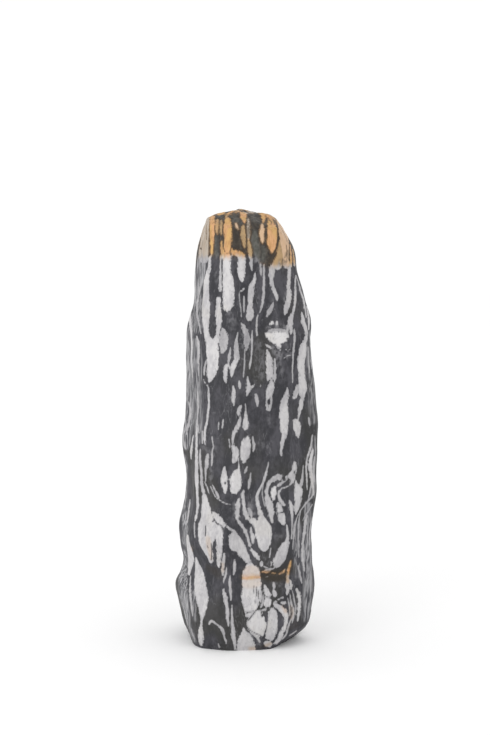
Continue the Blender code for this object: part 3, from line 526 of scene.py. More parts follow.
# Brown stain that darkens what it covers, and with it painted shade under the ledge of the foot, at the low
# end of the crown's rusty stain and under the lower right corner of the foot, as (strength, stroke).
grimeAndShade = [
    # these two: painted shade under the ledge, partly a real dark stain
    (1.0, [(42, 168, 6), (56, 166, 8), (72, 164, 8), (86, 166, 7)]),
    (0.7, [(46, 180, 4), (64, 178, 5), (82, 176, 6), (92, 186, 5)]),
    (0.8, [(-24, 950, 8), (-23, 930, 9), (-20, 914, 7)]),
    (0.5, [(-70, 186, 10), (-60, 176, 8), (-84, 190, 7)]),
    (0.6, [(108, 190, 4), (110, 176, 4)]),
    (0.9, [(63, 899, 4), (56, 889, 6), (50, 876, 6)]),
    (0.6, [(34, 972, 5), (26, 964, 6), (16, 968, 5)]),
    # painted shade at the low end of the crown's rusty stain
    (0.8, [(93, 908, 4), (93, 897, 6), (90, 886, 8), (78, 881, 7)]),
    (0.6, [(-66, 984, 4), (-60, 978, 5), (-56, 968, 4)]),
    (0.5, [(79, 950, 1), (77, 925, 1.4), (79, 905, 1.4)]),
    (0.55, [(85, 948, 0.8), (91, 930, 1.2), (92, 912, 1.6)]),
    (0.4, [(-88, 970, 0.6), (-87.6, 940, 1), (-88, 910, 1)]),
    (0.5, [(-98, 930, 1), (-100, 905, 1.4), (-101, 890, 1.4)]),
    (0.45, [(-52, 925, 3), (-50, 905, 4)]),
    (0.5, [(-41, 988, 4), (-34, 984, 4), (-28, 990, 4)]),
    (0.45, [(57, 980, 3), (62, 972, 3)]),
    (0.4, [(102, 915, 2), (104, 895, 2.4)]),
    (0.35, [(-24, 904, 4), (-12, 902, 4)]),
    (0.9, [(6, 984, 4), (6, 965, 5), (6, 940, 4)]),
    (0.5, [(-5, 930, 4), (-3, 914, 5)]),
    (0.5, [(-64, 950, 4), (-57, 946, 3)]),
    (0.35, [(-8, 950, 4), (-8, 930, 5), (8, 912, 4)]),
    (0.4, [(73, 945, 2), (73.5, 925, 2.4), (72, 910, 3)]),
    # painted shade where the lower right corner of the foot is undercut
    (0.5, [(108, 60, 6), (116, 50, 5), (100, 48, 5)]),
]

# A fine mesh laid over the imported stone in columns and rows, with lengths in m, but "spacings" and "weld"
# in mm.
skin = {
    "frontColumns": 282, "backColumns": 100, "frontReach": 98,  # how far round the front ones go, in degrees
    "rows": 256, "footRows": 5, "crownPole": 0.80, "summitRay": 1.2,  # rays fan out from the pole
    "heights": (0.40, 0.46, 0.66, 0.70, 0.76, 0.80, 0.94, 0.97),  # where the rows' spacing changes
    "spacings": (3.4, 5.4, 5.4, 3.2, 3.2, 5.4, 5.4, 3.6),  # and that spacing
    "sideRays": 260, "crownRays": 170, "rayStart": 0.42, "lowestRay": 0.0004,
    "weld": 0.01, "rounding": 2, "crisp": (8, 28),  # edges turn crisp between these, in degrees
    "smoothing": 2, "keep": 0.5, "crease": 50,
}


def noiseOver(points, reach, size, stretch=1, shift=(0, 0, 0)):
    # noise from -reach to reach at each point; a stretch above 1 draws its grains out upright
    scale = np.array([1 / size, 1 / size, 1 / (size * stretch)])
    return np.array([noise.noise(Vector(p)) for p in points * scale + np.array(shift)]) * reach


def smoothRise(values, low, high):
    share = np.clip((values - low) / (high - low), 0, 1)
    return share * share * (3 - 2 * share)


def roundedStone():
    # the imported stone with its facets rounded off, as a tree to shoot rays at
    mesh = bmesh.new()
    mesh.from_mesh(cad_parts["monolith"].data)
    bmesh.ops.remove_doubles(mesh, verts=mesh.verts, dist=skin["weld"] * mm)
    creases = mesh.edges.layers.float.new("crease_edge")
    for edge in mesh.edges:
        if len(edge.link_faces) == 2:
            edge[creases] = smoothRise(math.degrees(edge.calc_face_angle()), *skin["crisp"])
    data = bpy.data.meshes.new("rounded")
    mesh.to_mesh(data)
    mesh.free()
    helper = bpy.data.objects.new("rounded", data)
    bpy.context.scene.collection.objects.link(helper)
    helper.modifiers.new("rounding", "SUBSURF").levels = skin["rounding"]
    bpy.context.view_layer.update()
    tree = BVHTree.FromObject(helper, bpy.context.evaluated_depsgraph_get())
    bpy.data.objects.remove(helper)
    return tree


def columnBearings():
    reach = skin["frontReach"]
    ahead = np.linspace(-reach, reach, skin["frontColumns"], endpoint=False)
    behind = np.linspace(reach, 360 - reach, skin["backColumns"], endpoint=False)
    return np.radians(np.concatenate([ahead, behind]))


def outwardFor(bearing):
    # level direction for a bearing in radians: 0 faces the viewer, a quarter turn faces right
    return Vector((math.sin(bearing), -math.cos(bearing), 0))


def skinColumn(tree, bearing):
    # one column of the skin, from the rim of the foot up the side and over the crown
    outward = outwardFor(bearing)
    upward = Vector((0, 0, 1))
    pole = skin["crownPole"]
    found = []
    for i in range(skin["sideRays"]):
        height = skin["lowestRay"] + (pole - skin["lowestRay"]) * i / skin["sideRays"]
        found.append(tree.ray_cast(outward * skin["rayStart"] + upward * height, -outward)[0])
    for i in range(skin["crownRays"]):
        turn = math.pi / 2 * i / skin["crownRays"]
        away = outward * math.cos(turn) + upward * math.sin(turn)
        found.append(tree.ray_cast(upward * pole + away * skin["rayStart"], -away)[0])
    summit = tree.ray_cast(upward * skin["summitRay"], -upward)[0]
    line = np.array([p for p in found if p is not None] + [summit])
    line[0, 2] = 0
    spacings = np.interp(line[1:, 2], skin["heights"], skin["spacings"])
    steps = np.linalg.norm(np.diff(line, axis=0), axis=1) / spacings
    reached = np.concatenate([[0], np.cumsum(steps)])
    wanted = np.linspace(0, reached[-1], skin["rows"] + 1)[:-1]
    return np.stack([np.interp(wanted, reached, line[:, k]) for k in range(3)], axis=1), summit


def skinGrid(tree):
    columns = [skinColumn(tree, bearing) for bearing in columnBearings()]
    grid = np.stack([c[0] for c in columns], axis=1)
    keep, give = skin["keep"], (1 - skin["keep"]) / 2
    for _ in range(skin["smoothing"]):
        around = (np.roll(grid, 1, axis=1) + np.roll(grid, -1, axis=1)) / 2
        updown = (grid[:-2] + grid[2:]) / 2
        grid[1:-1] = grid[1:-1] * keep + (around[1:-1] + updown) * give
    return grid, np.array(columns[0][1])


def buildSkin(tree):
    grid, summit = skinGrid(tree)
    columns = grid.shape[1]
    middle = grid[0].mean(axis=0)
    count = skin["footRows"]
    rings = [middle + (grid[0] - middle) * i / count for i in range(1, count)]
    grid = np.concatenate([np.array(rings), grid])
    rows = len(grid)
    points = np.concatenate([grid.reshape(-1, 3), [middle], [summit]])
    base, top = rows * columns, rows * columns + 1
    faces = []
    for j in range(columns):
        k = (j + 1) % columns
        faces.append((base, k, j))
        for i in range(rows - 1):
            a, b = i * columns, (i + 1) * columns
            faces.append((a + j, a + k, b + k, b + j))
        faces.append(((rows - 1) * columns + j, (rows - 1) * columns + k, top))
    data = bpy.data.meshes.new("marble_stone")
    data.from_pydata([tuple(p) for p in points], [], faces)
    data.validate()
    stone = bpy.data.objects.new("marble_stone", data)
    bpy.context.scene.collection.objects.link(stone)
    return stone


def readVertices(stone, what):
    values = np.empty(len(stone.data.vertices) * 3, np.float32)
    stone.data.vertices.foreach_get(what, values)
    return values.reshape(-1, 3).astype(float)


# How strokes are laid on the surface: lengths in mm, wobbles as (reach in mm, size in m).
laying = {
    "step": 2.5, "fewest": 2, "thinnest": 0.2, "margin": 14, "deepest": -20, "shortest": 1e-9,
    "rayStart": 0.5,  # how far out the rays begin, in m
    "wobbles": ((1.0, 0.021), (0.5, 0.008)), "wobbleStretch": 1.6, "wobbleShift": (7, 3, 11),
    "raggedFrom": 5, "leastRagged": 0.3,  # thin strokes are less ragged
    "soft": {"smoke": 5, "laminae": 6, "rust": 4, "grimeAndShade": 7},  # how softly their edges fade
}


def curveThrough(stroke):
    # a smooth line through the points of a stroke, as (across, height, half width) in mm
    stroke = np.array(stroke, float)
    padded = np.concatenate([[2 * stroke[0] - stroke[1]], stroke, [2 * stroke[-1] - stroke[-2]]])
    made = []
    for a, b, c, d in zip(padded, padded[1:], padded[2:], padded[3:]):
        count = max(laying["fewest"], int(np.linalg.norm((c - b)[:2]) / laying["step"]))
        for t in np.arange(count) / count:
            made.append(b + 0.5 * t * (c - a + t * (2 * a - 5 * b + 4 * c - d + t * (3 * (b - c) + d - a))))
    made = np.array(made + [stroke[-1]])
    made[:, 2] = np.maximum(made[:, 2], laying["thinnest"])
    return made


def laidAround(tree, stroke):
    # a stroke given as (bearing in degrees, height, half width), laid on the side that faces that way
    made = []
    for bearing, height, half in curveThrough(stroke):
        outward = outwardFor(math.radians(bearing))
        start = outward * laying["rayStart"] + Vector((0, 0, height * mm))
        point = tree.ray_cast(start, -outward)[0]
        if point is None:
            point = tree.find_nearest(start)[0]
        made.append((*(point / mm), half))
    return np.array(made)


def insideStroke(places, line):
    # for the places near a stroke: their indices, how far inside it they are and how broad it is there, in mm
    margin = laying["margin"] + line[:, -1].max()
    low, high = line[:, :-1].min(axis=0) - margin, line[:, :-1].max(axis=0) + margin
    near = np.where(((places > low) & (places < high)).all(axis=1))[0]
    best = np.full(len(near), laying["deepest"], float)
    halves = np.ones(len(near))
    heights = places[near, -1]
    for first, last in zip(line, line[1:]):
        middle = (first[-2] + last[-2]) / 2
        window = np.where(np.abs(heights - middle) < margin + abs(first[-2] - last[-2]))[0]
        along = last[:-1] - first[:-1]
        reach = places[near[window]] - first[:-1]
        share = np.clip(reach @ along / max(along @ along, laying["shortest"]), 0, 1)
        gap = np.linalg.norm(reach - share[:, None] * along, axis=1)
        half = first[-1] + share * (last[-1] - first[-1])
        deeper = half - gap > best[window]
        best[window[deeper]] = (half - gap)[deeper]
        halves[window[deeper]] = half[deeper]
    return near, best, halves


class Markings:
    # the signed depths and shares that the material reads, one value for each vertex
    def __init__(self, points):
        places = points / mm
        across, along, up = laying["wobbleShift"]
        for k, (reach, size) in enumerate(laying["wobbles"]):
            shifts = [(across * n, along + k, up * n) for n in (1, 2, 3)]
            wobble = [noiseOver(points, reach, size, laying["wobbleStretch"], shift) for shift in shifts]
            places = places + np.stack(wobble, axis=1)
        self.places = places
        self.flat = places[:, [0, 2]]
        self.values = {name: np.zeros(len(points)) for name in ("tone", "smoke", "laminae", "rust", "grimeAndShade")}
        self.values["calcite"] = np.full(len(points), laying["deepest"], float)
        self.values["ragged"] = np.ones(len(points))
        self.front = np.zeros(len(points), bool)
        self.slant = np.ones(len(points))

    def reach(self, line):
        # strokes of three numbers are read square on and reach the front alone; those of four lie in space
        if line.shape[1] == 4:
            return insideStroke(self.places, line)
        found = insideStroke(self.flat, line)
        near, inside, halves = [values[self.front[found[0]]] for values in found]
        return near, inside * self.slant[near], halves * self.slant[near]

    def evenOut(self, near, halves):
        # the edges of a thin stroke stray less than those of a broad one
        self.values["ragged"][near] = np.clip(halves / laying["raggedFrom"], laying["leastRagged"], 1)

    def paint(self, line, tone):
        near, inside, halves = self.reach(line)
        deeper = inside > self.values["calcite"][near]
        near = near[deeper]
        self.values["calcite"][near] = inside[deeper]
        self.values["tone"][near] = tone
        self.evenOut(near, halves[deeper])

    def cut(self, line):
        near, inside, halves = self.reach(line)
        deeper = -inside < self.values["calcite"][near]
        near = near[deeper]
        self.values["calcite"][near] = -inside[deeper]
        self.evenOut(near, halves[deeper])

    def breathe(self, name, line, strength):
        near, inside, _ = self.reach(line)
        soft = laying["soft"][name]
        share = smoothRise(inside, -soft, soft) * strength
        self.values[name][near] = np.maximum(self.values[name][near], share)


# Bands of the same kind on the sides and back, laid in upright lanes: bearings in degrees, lengths in mm.
wild = {
    "seed": 41, "from": 60, "to": 300, "lane": 6.6, "inLane": (0.15, 0.85), "mmPerDegree": 2.4, "top": 985,
    "firstLens": (-60, 60), "lensLength": (60, 220), "lensHalf": (2.4, 9.5), "tones": (0.2, 0.95),
    "drops": 0.17, "dropLength": (60, 130), "dropHalf": (11, 18), "gap": (16, 110),
    "doubled": 0.7, "doubledFrom": 6, "beside": 4.5,  # a broad lens often has a hairline beside it
    "firstHair": (0, 200), "hairLength": (90, 300), "hairHalf": (1.2, 2.0), "hairTones": (0.1, 0.5),
    "hairGap": (60, 260), "hazeLength": (40, 130), "hazeHalf": (3, 8), "hazeStrength": (0.3, 0.8),
    "even": 0.7,  # the seeded edges are less ragged
    "sways": ((3.2, 150, 38, 0), (1.7, 61, 23, 1.3), (0.5, 27, 9, 0)),  # degrees, mm up, degrees round, start
}
lens = {"pointEvery": 26, "fewest": 5, "lean": 2.2, "middle": (0.3, 0.7), "tip": 0.10, "fullness": 0.75,
        "uneven": (0.78, 1.15)}


def swayOf(bearing, height):
    # how far the banding leans sideways, in degrees, so that neighbours bend together
    return sum(reach * math.sin(height / up + bearing / around + start)
               for reach, up, around, start in wild["sways"])


def lensStroke(draw, bearing, start, length, half):
    count = max(lens["fewest"], int(length / lens["pointEvery"]))
    lean = draw.uniform(-lens["lean"], lens["lean"])
    middle = draw.uniform(*lens["middle"])
    stroke = []
    for i in range(count + 1):
        t = i / count
        share = t / middle if t < middle else (1 - t) / (1 - middle)
        width = half * min(1, lens["tip"] + share ** lens["fullness"]) * draw.uniform(*lens["uneven"])
        height = start + length * t
        stroke.append((bearing + lean * (t - 0.5) + swayOf(bearing, height), height, width))
    return stroke


def wildLenses(draw, bearing):
    # (tone, stroke) for one lane of lenses, some of them broad drops
    bands = []
    height = draw.uniform(*wild["firstLens"])
    while height < wild["top"]:
        kind = "drop" if draw.random() < wild["drops"] else "lens"
        length = draw.uniform(*wild[kind + "Length"])
        half = draw.uniform(*wild[kind + "Half"])
        stroke = lensStroke(draw, bearing, height, length, half)
        bands.append((draw.uniform(*wild["tones"]), stroke))
        if half > wild["doubledFrom"] and draw.random() < wild["doubled"]:
            side = draw.choice((-1, 1)) * (half + wild["beside"]) / wild["mmPerDegree"]
            hair = [(b + side, h, draw.uniform(*wild["hairHalf"])) for b, h, _ in stroke]
            bands.append((draw.uniform(*wild["hairTones"]), hair))
        height += length + draw.uniform(*wild["gap"])
    return bands


def wildHairs(draw, bearing):
    # (tone, stroke) for the hairlines between two lanes, and (strength, stroke) for the smoke between them
    hairs, smokes = [], []
    height = draw.uniform(*wild["firstHair"])
    while height < wild["top"]:
        length = draw.uniform(*wild["hairLength"])
        half = draw.uniform(*wild["hairHalf"])
        hair = lensStroke(draw, bearing + wild["lane"] / 2, height, length, half)
        hairs.append((draw.uniform(*wild["hairTones"]), hair))
        height += length + draw.uniform(*wild["hairGap"])
        long = draw.uniform(*wild["hazeLength"])
        smoke = lensStroke(draw, bearing, height, long, draw.uniform(*wild["hazeHalf"]))
        smokes.append((draw.uniform(*wild["hazeStrength"]), smoke))
    return hairs, smokes


def wildBands():
    draw = random.Random(wild["seed"])
    bands, smokes = [], []
    for lane in range(int((wild["to"] - wild["from"]) / wild["lane"])):
        bearing = wild["from"] + wild["lane"] * (lane + draw.uniform(*wild["inLane"]))
        bands += wildLenses(draw, bearing)
        hairs, hazes = wildHairs(draw, bearing)
        bands += hairs
        smokes += hazes
    return bands, smokes


# Folds on the unseen sides, as (bearing, height, reach in mm, 1 for hanging or -1 for standing).
wildFolds = [(150, 540, 46, 1), (226, 310, 50, -1), (110, 240, 34, 1), (262, 800, 26, 1),
             (194, 800, 34, -1), (178, 150, 40, 1)]
foldLook = {
    "seed": 42, "shrink": (0.48, 0.72), "smallest": 6, "steps": 9, "legs": (2.6, 4.4), "hinge": 1.5,
    "taper": 0.3, "bend": 1.6, "nest": 1.3, "lean": 11, "thin": 1.4, "thick": (2.6, 7.5),
    "uneven": (0.7, 1.1), "heart": 0.8, "heartLift": 1.8,  # a dark heart is cut before the hairpins are laid
}


def foldBands(draw, bearing, height, reach, way):
    # nested hairpins whose legs run off into the upright bands
    bands = []
    lean = draw.uniform(-foldLook["lean"], foldLook["lean"])
    size = reach
    while size > foldLook["smallest"]:
        legs = size * draw.uniform(*foldLook["legs"])
        thick = draw.uniform(*foldLook["thick"])
        start = height + way * (reach - size) * foldLook["nest"]
        band = []
        for i in range(-foldLook["steps"], foldLook["steps"] + 1):
            t = abs(i) / foldLook["steps"]
            turned = math.sin(min(t * foldLook["hinge"], 1) * math.pi / 2) * (1 - foldLook["taper"] * t)
            across = math.copysign(size * turned, i) + lean * t
            width = foldLook["thin"] + thick * (1 - t) * draw.uniform(*foldLook["uneven"])
            level = start + way * legs * t ** foldLook["bend"]
            band.append((bearing + across / wild["mmPerDegree"] + swayOf(bearing, level) * t, level, width))
        bands.append(band)
        size *= draw.uniform(*foldLook["shrink"])
    return bands


# The rusty crown ends at these heights in mm, lower at the right, with an uneven line round the back, which
# takes over between the two depths of "behind", in m. Noises here and below are (reach, size in m, stretch,
# shift).
crownStain = {
    "left": 893, "right": 873, "drop": (18, 46), "back": 884, "behind": (-0.03, 0.01), "fade": (-6, 10),
    "backUneven": (26, 0.03, 0.6, (3, 3, 9)), "ragged": (7, 0.006, 2.5, (9, 9, 1)),
}
crownBlotch = {  # on the top, above this height in m
    "above": 0.976, "drawnOut": (1, 0.3, 0.6), "depth": (15, 0.013, 1, (5, 5, 5)),
    "tone": (1, 0.024, 1, (2, 9, 4)), "toneLimits": (-0.5, 0.3),
}
# Where the marks read from the front begin. "facing" says how far to the back the level part of a normal
# may point, and "topFacing" how far up a normal points on the top, where they reach back to "topReach", in m.
front = {
    "facing": -0.09, "leastFacing": 0.3, "topFacing": 0.93, "topReach": -0.01, "leastLevel": 0.01,
    "uneven": (0.06, 0.03, 3, (6, 1, 2)), "topCalm": 4,  # the line strays a quarter as far over the top
}


def paintUnseen(marks, tree):
    # seeded bands, smoke and folds for the sides and back
    draw = random.Random(foldLook["seed"])
    bands, smokes = wildBands()
    for tone, stroke in bands:
        marks.paint(laidAround(tree, stroke), tone)
    for strength, stroke in smokes:
        marks.breathe("smoke", laidAround(tree, stroke), strength)
    for bearing, height, reach, way in wildFolds:
        far = height + way * reach * foldLook["heartLift"]
        heart = [(bearing, level, reach * foldLook["heart"]) for level in (height, far)]
        marks.cut(laidAround(tree, heart))
        for band in foldBands(draw, bearing, height, reach, way):
            marks.paint(laidAround(tree, band), draw.uniform(*wild["tones"]))
    marks.values["ragged"] *= wild["even"]


def paintFront(marks):
    # the strokes read from the photograph
    for tone, stroke in frontMarks:
        marks.paint(curveThrough(stroke), tone)
    for stroke in cracks:
        marks.cut(curveThrough(stroke))
    softly = {"smoke": haze, "laminae": laminated, "rust": stain, "grimeAndShade": grimeAndShade}
    for name, strokes in softly.items():
        for strength, stroke in strokes:
            marks.breathe(name, curveThrough(stroke), strength)


def paintStone(stone, tree):
    points, normals = readVertices(stone, "co"), readVertices(stone, "normal")
    marks = Markings(points)
    paintUnseen(marks, tree)
    crownTop(marks, points)
    clearFront(marks, points, normals)
    paintFront(marks)
    crownEdge(marks, points)
    for name, values in marks.values.items():
        layer = stone.data.attributes.new(name, "FLOAT", "POINT")
        layer.data.foreach_set("value", values.astype(np.float32))
    return marks.values


def crownTop(marks, points):
    # the top of the crown has blotches in place of bands
    top = points[:, 2] > crownBlotch["above"]
    drawn = points * np.array(crownBlotch["drawnOut"])
    marks.values["calcite"][top] = noiseOver(drawn, *crownBlotch["depth"])[top]
    tone = smoothRise(noiseOver(drawn, *crownBlotch["tone"]), *crownBlotch["toneLimits"])
    marks.values["tone"][top] = tone[top]


def clearFront(marks, points, normals):
    # the seeded bands stop along an uneven line, beyond which the marks read from the front begin
    level = normals[:, 1] / np.maximum(np.hypot(normals[:, 0], normals[:, 1]), front["leastLevel"])
    uneven = noiseOver(points, *front["uneven"])
    upward = normals[:, 2] > front["topFacing"]
    over = upward & (points[:, 1] < front["topReach"] + uneven / front["topCalm"])
    marks.front = (level < front["facing"] + uneven) & ~upward | over
    marks.slant = np.where(over, 1, 1 / np.clip(-level, front["leastFacing"], 1))
    marks.values["calcite"][marks.front] = laying["deepest"]
    marks.values["ragged"][marks.front] = 1
    marks.values["smoke"][marks.front] = 0


def crownEdge(marks, points):
    # share of rusty stain, rising above the lower edge of the crown
    across, height = points[:, 0] / mm, points[:, 2] / mm
    fall = smoothRise(across, *crownStain["drop"])
    edge = crownStain["left"] + (crownStain["right"] - crownStain["left"]) * fall
    behind = smoothRise(points[:, 1], *crownStain["behind"])
    uneven = noiseOver(points, *crownStain["backUneven"])
    edge = edge + (crownStain["back"] + uneven - edge) * behind
    ragged = noiseOver(points, *crownStain["ragged"])
    rust = smoothRise(height + ragged - edge, *crownStain["fade"])
    marks.values["rust"] = np.maximum(marks.values["rust"], rust)


# Low relief in m, but "veinEdge" in mm. "underneath" tells the faces of the foot by their normals.
relief = {
    "swells": (0.0010, 0.045, 1.6), "ripples": (0.0007, 0.011, 4, (4, 9, 2)),
    "pits": (0.00028, 0.006, 1.5, (1, 5, 8)), "veinRise": 0.00035, "veinEdge": (-1.5, 1.5),
    "crown": (0.955, 0.985), "crownCrags": (0.0024, 0.011, 1, (3, 1, 6)), "crownSink": 0.0016,
    "foot": (0.004, 0.030), "footCrags": (0.0028, 0.016, 1, (8, 2, 5)),
    "flat": 0.0002, "underneath": -0.9, "clearance": 0.00005,
}


def weatherStone(stone, values):
    # low relief along the surface: swells, upright ripples, fine pits and a rough crown and foot
    points, normals = readVertices(stone, "co"), readVertices(stone, "normal")
    crown = smoothRise(points[:, 2], *relief["crown"])
    foot = 1 - smoothRise(points[:, 2], *relief["foot"])
    still = (points[:, 2] < relief["flat"]) | (normals[:, 2] < relief["underneath"])
    rise = sum(noiseOver(points, *relief[name]) for name in ("swells", "ripples", "pits"))
    rise -= (np.abs(noiseOver(points, *relief["crownCrags"])) + relief["crownSink"]) * crown
    rise -= np.abs(noiseOver(points, *relief["footCrags"])) * foot
    rise += smoothRise(values["calcite"], *relief["veinEdge"]) * relief["veinRise"]
    points += normals * (rise * ~still)[:, None]
    room = relief["clearance"]
    points = np.clip(points, np.array(cadLow) + room, np.array(cadHigh) - room)
    points[still, 2] = 0
    stone.data.vertices.foreach_set("co", points.astype(np.float32).ravel())
    stone.data.update()


class Wire:
    # a socket that takes part in sums
    def __init__(self, board, socket):
        self.board = board
        self.socket = socket

    def maths(self, operation, first, second=0.0):
        return self.board.add("ShaderNodeMath", {"operation": operation}, {0: first, 1: second})

    def __add__(self, other):
        return self.maths("ADD", self, other)

    def __radd__(self, other):
        return self.maths("ADD", other, self)

    def __sub__(self, other):
        return self.maths("SUBTRACT", self, other)

    def __rsub__(self, other):
        return self.maths("SUBTRACT", other, self)

    def __mul__(self, other):
        return self.maths("MULTIPLY", self, other)

    def __rmul__(self, other):
        return self.maths("MULTIPLY", other, self)

    def __abs__(self):
        return self.maths("ABSOLUTE", self)


noiseMiddle = 0.5  # the noise node gives values about this one
perMetre = 1000


class Board:
    # the node board of one material
    def __init__(self, name):
        self.material = bpy.data.materials.new(name)
        self.material.use_nodes = True
        self.tree = self.material.node_tree
        self.tree.nodes.clear()

    def add(self, kind, settings=None, sockets=None, out=0):
        node = self.tree.nodes.new(kind)
        for name, value in (settings or {}).items():
            setattr(node, name, value)
        for name, value in (sockets or {}).items():
            if isinstance(value, Wire):
                self.tree.links.new(value.socket, node.inputs[name])
            else:
                node.inputs[name].default_value = value
        return Wire(self, node.outputs[out]) if len(node.outputs) else node

    def layer(self, name):
        # a vertex attribute, read from the node's single-value output
        return self.add("ShaderNodeAttribute", {"attribute_name": name}, out=2)

    def rise(self, value, low, high):
        return self.add("ShaderNodeMapRange", {"interpolation_type": "SMOOTHSTEP"},
                        {"Value": value, "From Min": low, "From Max": high})

    def blend(self, share, first, second):
        # sockets 6 and 7 take the two colours and output 2 gives the mixed one
        return self.add("ShaderNodeMix", {"data_type": "RGBA"}, {0: share, 6: first, 7: second}, out=2)

    def grain(self, place, size, detail, rough, stretch, shift):
        # noise from 0 to 1 whose grains are this many mm wide
        wide = perMetre / size
        stretched = self.add("ShaderNodeVectorMath", {"operation": "MULTIPLY_ADD"},
                             {0: place, 1: (wide, wide, perMetre / (size * stretch)),
                              2: (shift, shift * 2, shift * 3)})
        return self.add("ShaderNodeTexNoise", {"noise_dimensions": "3D"},
                        {"Vector": stretched, "Scale": 1.0, "Detail": detail, "Roughness": rough})

    def swing(self, place, grain, reach):
        # noise about 0
        return (self.grain(place, *grain) - noiseMiddle) * reach

    def patches(self, place, grain, limits):
        return self.rise(self.grain(place, *grain), *limits)

    def vein(self, place, grain, width):
        # thin winding lines where the noise passes its middle value
        return 1 - self.rise(abs(self.grain(place, *grain) - noiseMiddle), 0, width)


def paint(red, green, blue):
    # a colour read as screen values from 0 to 255, as the shader wants it
    channels = [value / 255 for value in (red, green, blue)]
    return (*[c / 12.92 if c <= 0.04045 else ((c + 0.055) / 1.055) ** 2.4 for c in channels], 1)


# Noises in the material are (grain in mm, detail, roughness, stretch, shift). Patches such as casts, specks
# and flecks add the limits between which the noise counts, veins their width. Depths are in mm.
marbleLook = {
    "dark": paint(50, 50, 54), "darkLight": paint(74, 73, 78), "olive": paint(58, 57, 51),
    "smoke": paint(118, 117, 120), "speck": paint(110, 109, 112),
    "white": paint(202, 200, 200), "whiteGrey": paint(182, 180, 182), "cream": paint(196, 191, 180),
    "pale": paint(140, 138, 141), "paleLight": paint(158, 156, 158), "rim": paint(150, 149, 151),
    "lamDark": paint(68, 68, 72), "lamLight": paint(168, 167, 169),
    "ochre": paint(201, 160, 95), "ochrePink": paint(206, 156, 108), "rustRim": paint(84, 62, 38),
    "ochreDeep": paint(178, 132, 80), "ochreRim": paint(128, 100, 64), "dullOchre": paint(168, 140, 100),
    "peach": paint(204, 172, 140), "greyBeige": paint(181, 170, 157), "beigeStreak": paint(140, 131, 119),
    "brown": paint(48, 43, 38), "brownLight": paint(88, 80, 68), "greenGrey": paint(86, 86, 78),
    # dark brown of the grime, also used as painted shade under the ledge and the undercut foot
    "grimeAndShade": paint(54, 48, 40),
    "coarseEdge": ((6, 3, 0.6, 1.8, 0), 9), "fineEdge": ((2.2, 2, 0.6, 2.6, 4), 7),  # noise and its reach
    "edgeSoft": 1.0, "stainedSoft": 0.9,
    "mottle": (7, 3, 0.6, 1.7, 7), "clouds": (28, 3, 0.5, 2.2, 2), "mottleShare": 0.4, "cloudShare": 0.6,
    "thinLayers": (3.4, 3, 0.6, 16, 11), "thinShare": 0.6, "thickLayers": (8, 3, 0.6, 9, 13),
    "thickShare": 0.4,
    "darkLimits": (0.40, 0.62), "oliveCast": ((110, 2, 0.5, 1.6, 19), (0.48, 0.62)), "oliveShare": 0.5,
    "veined": ((34, 2, 0.5, 2, 23), (0.44, 0.62)), "darkVein": ((13, 2, 0.55, 4.5, 17), 0.016),
    "darkVeinShare": 0.45, "specks": ((2.8, 2, 0.5, 1.3, 41), (0.66, 0.74)), "speckShare": 0.35,
    "smokeLimits": (0.36, 0.62), "laminaLimits": (0.44, 0.57),
    "whiteLimits": (0.40, 0.58), "creamCast": ((55, 2, 0.5, 1.5, 21), (0.54, 0.68)), "creamShare": 0.25,
    "paleLimits": (0.38, 0.62), "rimDepth": (0.6, 3.2), "rimShare": 0.55,
    "lightVein": ((17, 2, 0.55, 2.5, 27), 0.012), "lightVeinShare": 0.4,
    "flecks": ((7, 4, 0.66, 3.5, 33), (0.44, 0.66)), "pinkCast": ((22, 2, 0.5, 2.5, 35), (0.40, 0.60)),
    "streakLimits": (0.42, 0.60), "beigeStreaks": 0.6, "ochreStreaks": 0.16,
    "peachTones": (0.15, 0.35), "dullTones": (0.35, 0.5), "ochreTones": (0.5, 0.75),
    "stainRim": (0.2, 1.8), "stainRimShare": 0.45, "stainShare": 0.94,
    # how far the grime and its painted shade darken the light bands and the dark ground
    "grimeAndShadeLimits": (0.40, 0.56), "grimeAndShadeOnLight": 0.8, "grimeAndShadeOnDark": 0.85,
    "sootLimits": (0.42, 0.70), "sootSmoke": 0.8, "sootShare": 0.8,
    "rustRimDepth": (-4.5, -0.6), "rustRimShare": 0.6,
    "roughness": (12, 3, 0.6, 2, 51), "roughLow": 0.44, "roughHigh": 0.66, "specular": 0.22,
    "bumps": (2.4, 3, 0.6, 1.6, 61), "fineBumps": (0.9, 2, 0.5, 1, 63), "bumpShare": 0.6, "fineShare": 0.4,
    "bump": 0.3, "bumpReach": 0.0006,
}


class MarbleBoard(Board):
    # the noises and painted layers that several parts of the marble share
    def __init__(self):
        super().__init__("banded_marble")
        look = marbleLook
        self.place = self.add("ShaderNodeTexCoord", out=3)  # the object's own coordinates
        self.tone, self.smoke, self.rust = self.layer("tone"), self.layer("smoke"), self.layer("rust")
        # the grime layer, which also holds painted shade under the ledge and the undercut foot
        self.grimeAndShadeShare = self.layer("grimeAndShade")
        ragged = self.swing(self.place, *look["coarseEdge"]) + self.swing(self.place, *look["fineEdge"])
        self.depth = self.layer("calcite") + ragged * self.layer("ragged")
        self.mottle = self.grain(self.place, *look["mottle"])
        self.clouds = self.grain(self.place, *look["clouds"])
        thin = self.grain(self.place, *look["thinLayers"]) * look["thinShare"]
        self.layers = thin + self.grain(self.place, *look["thickLayers"]) * look["thickShare"]


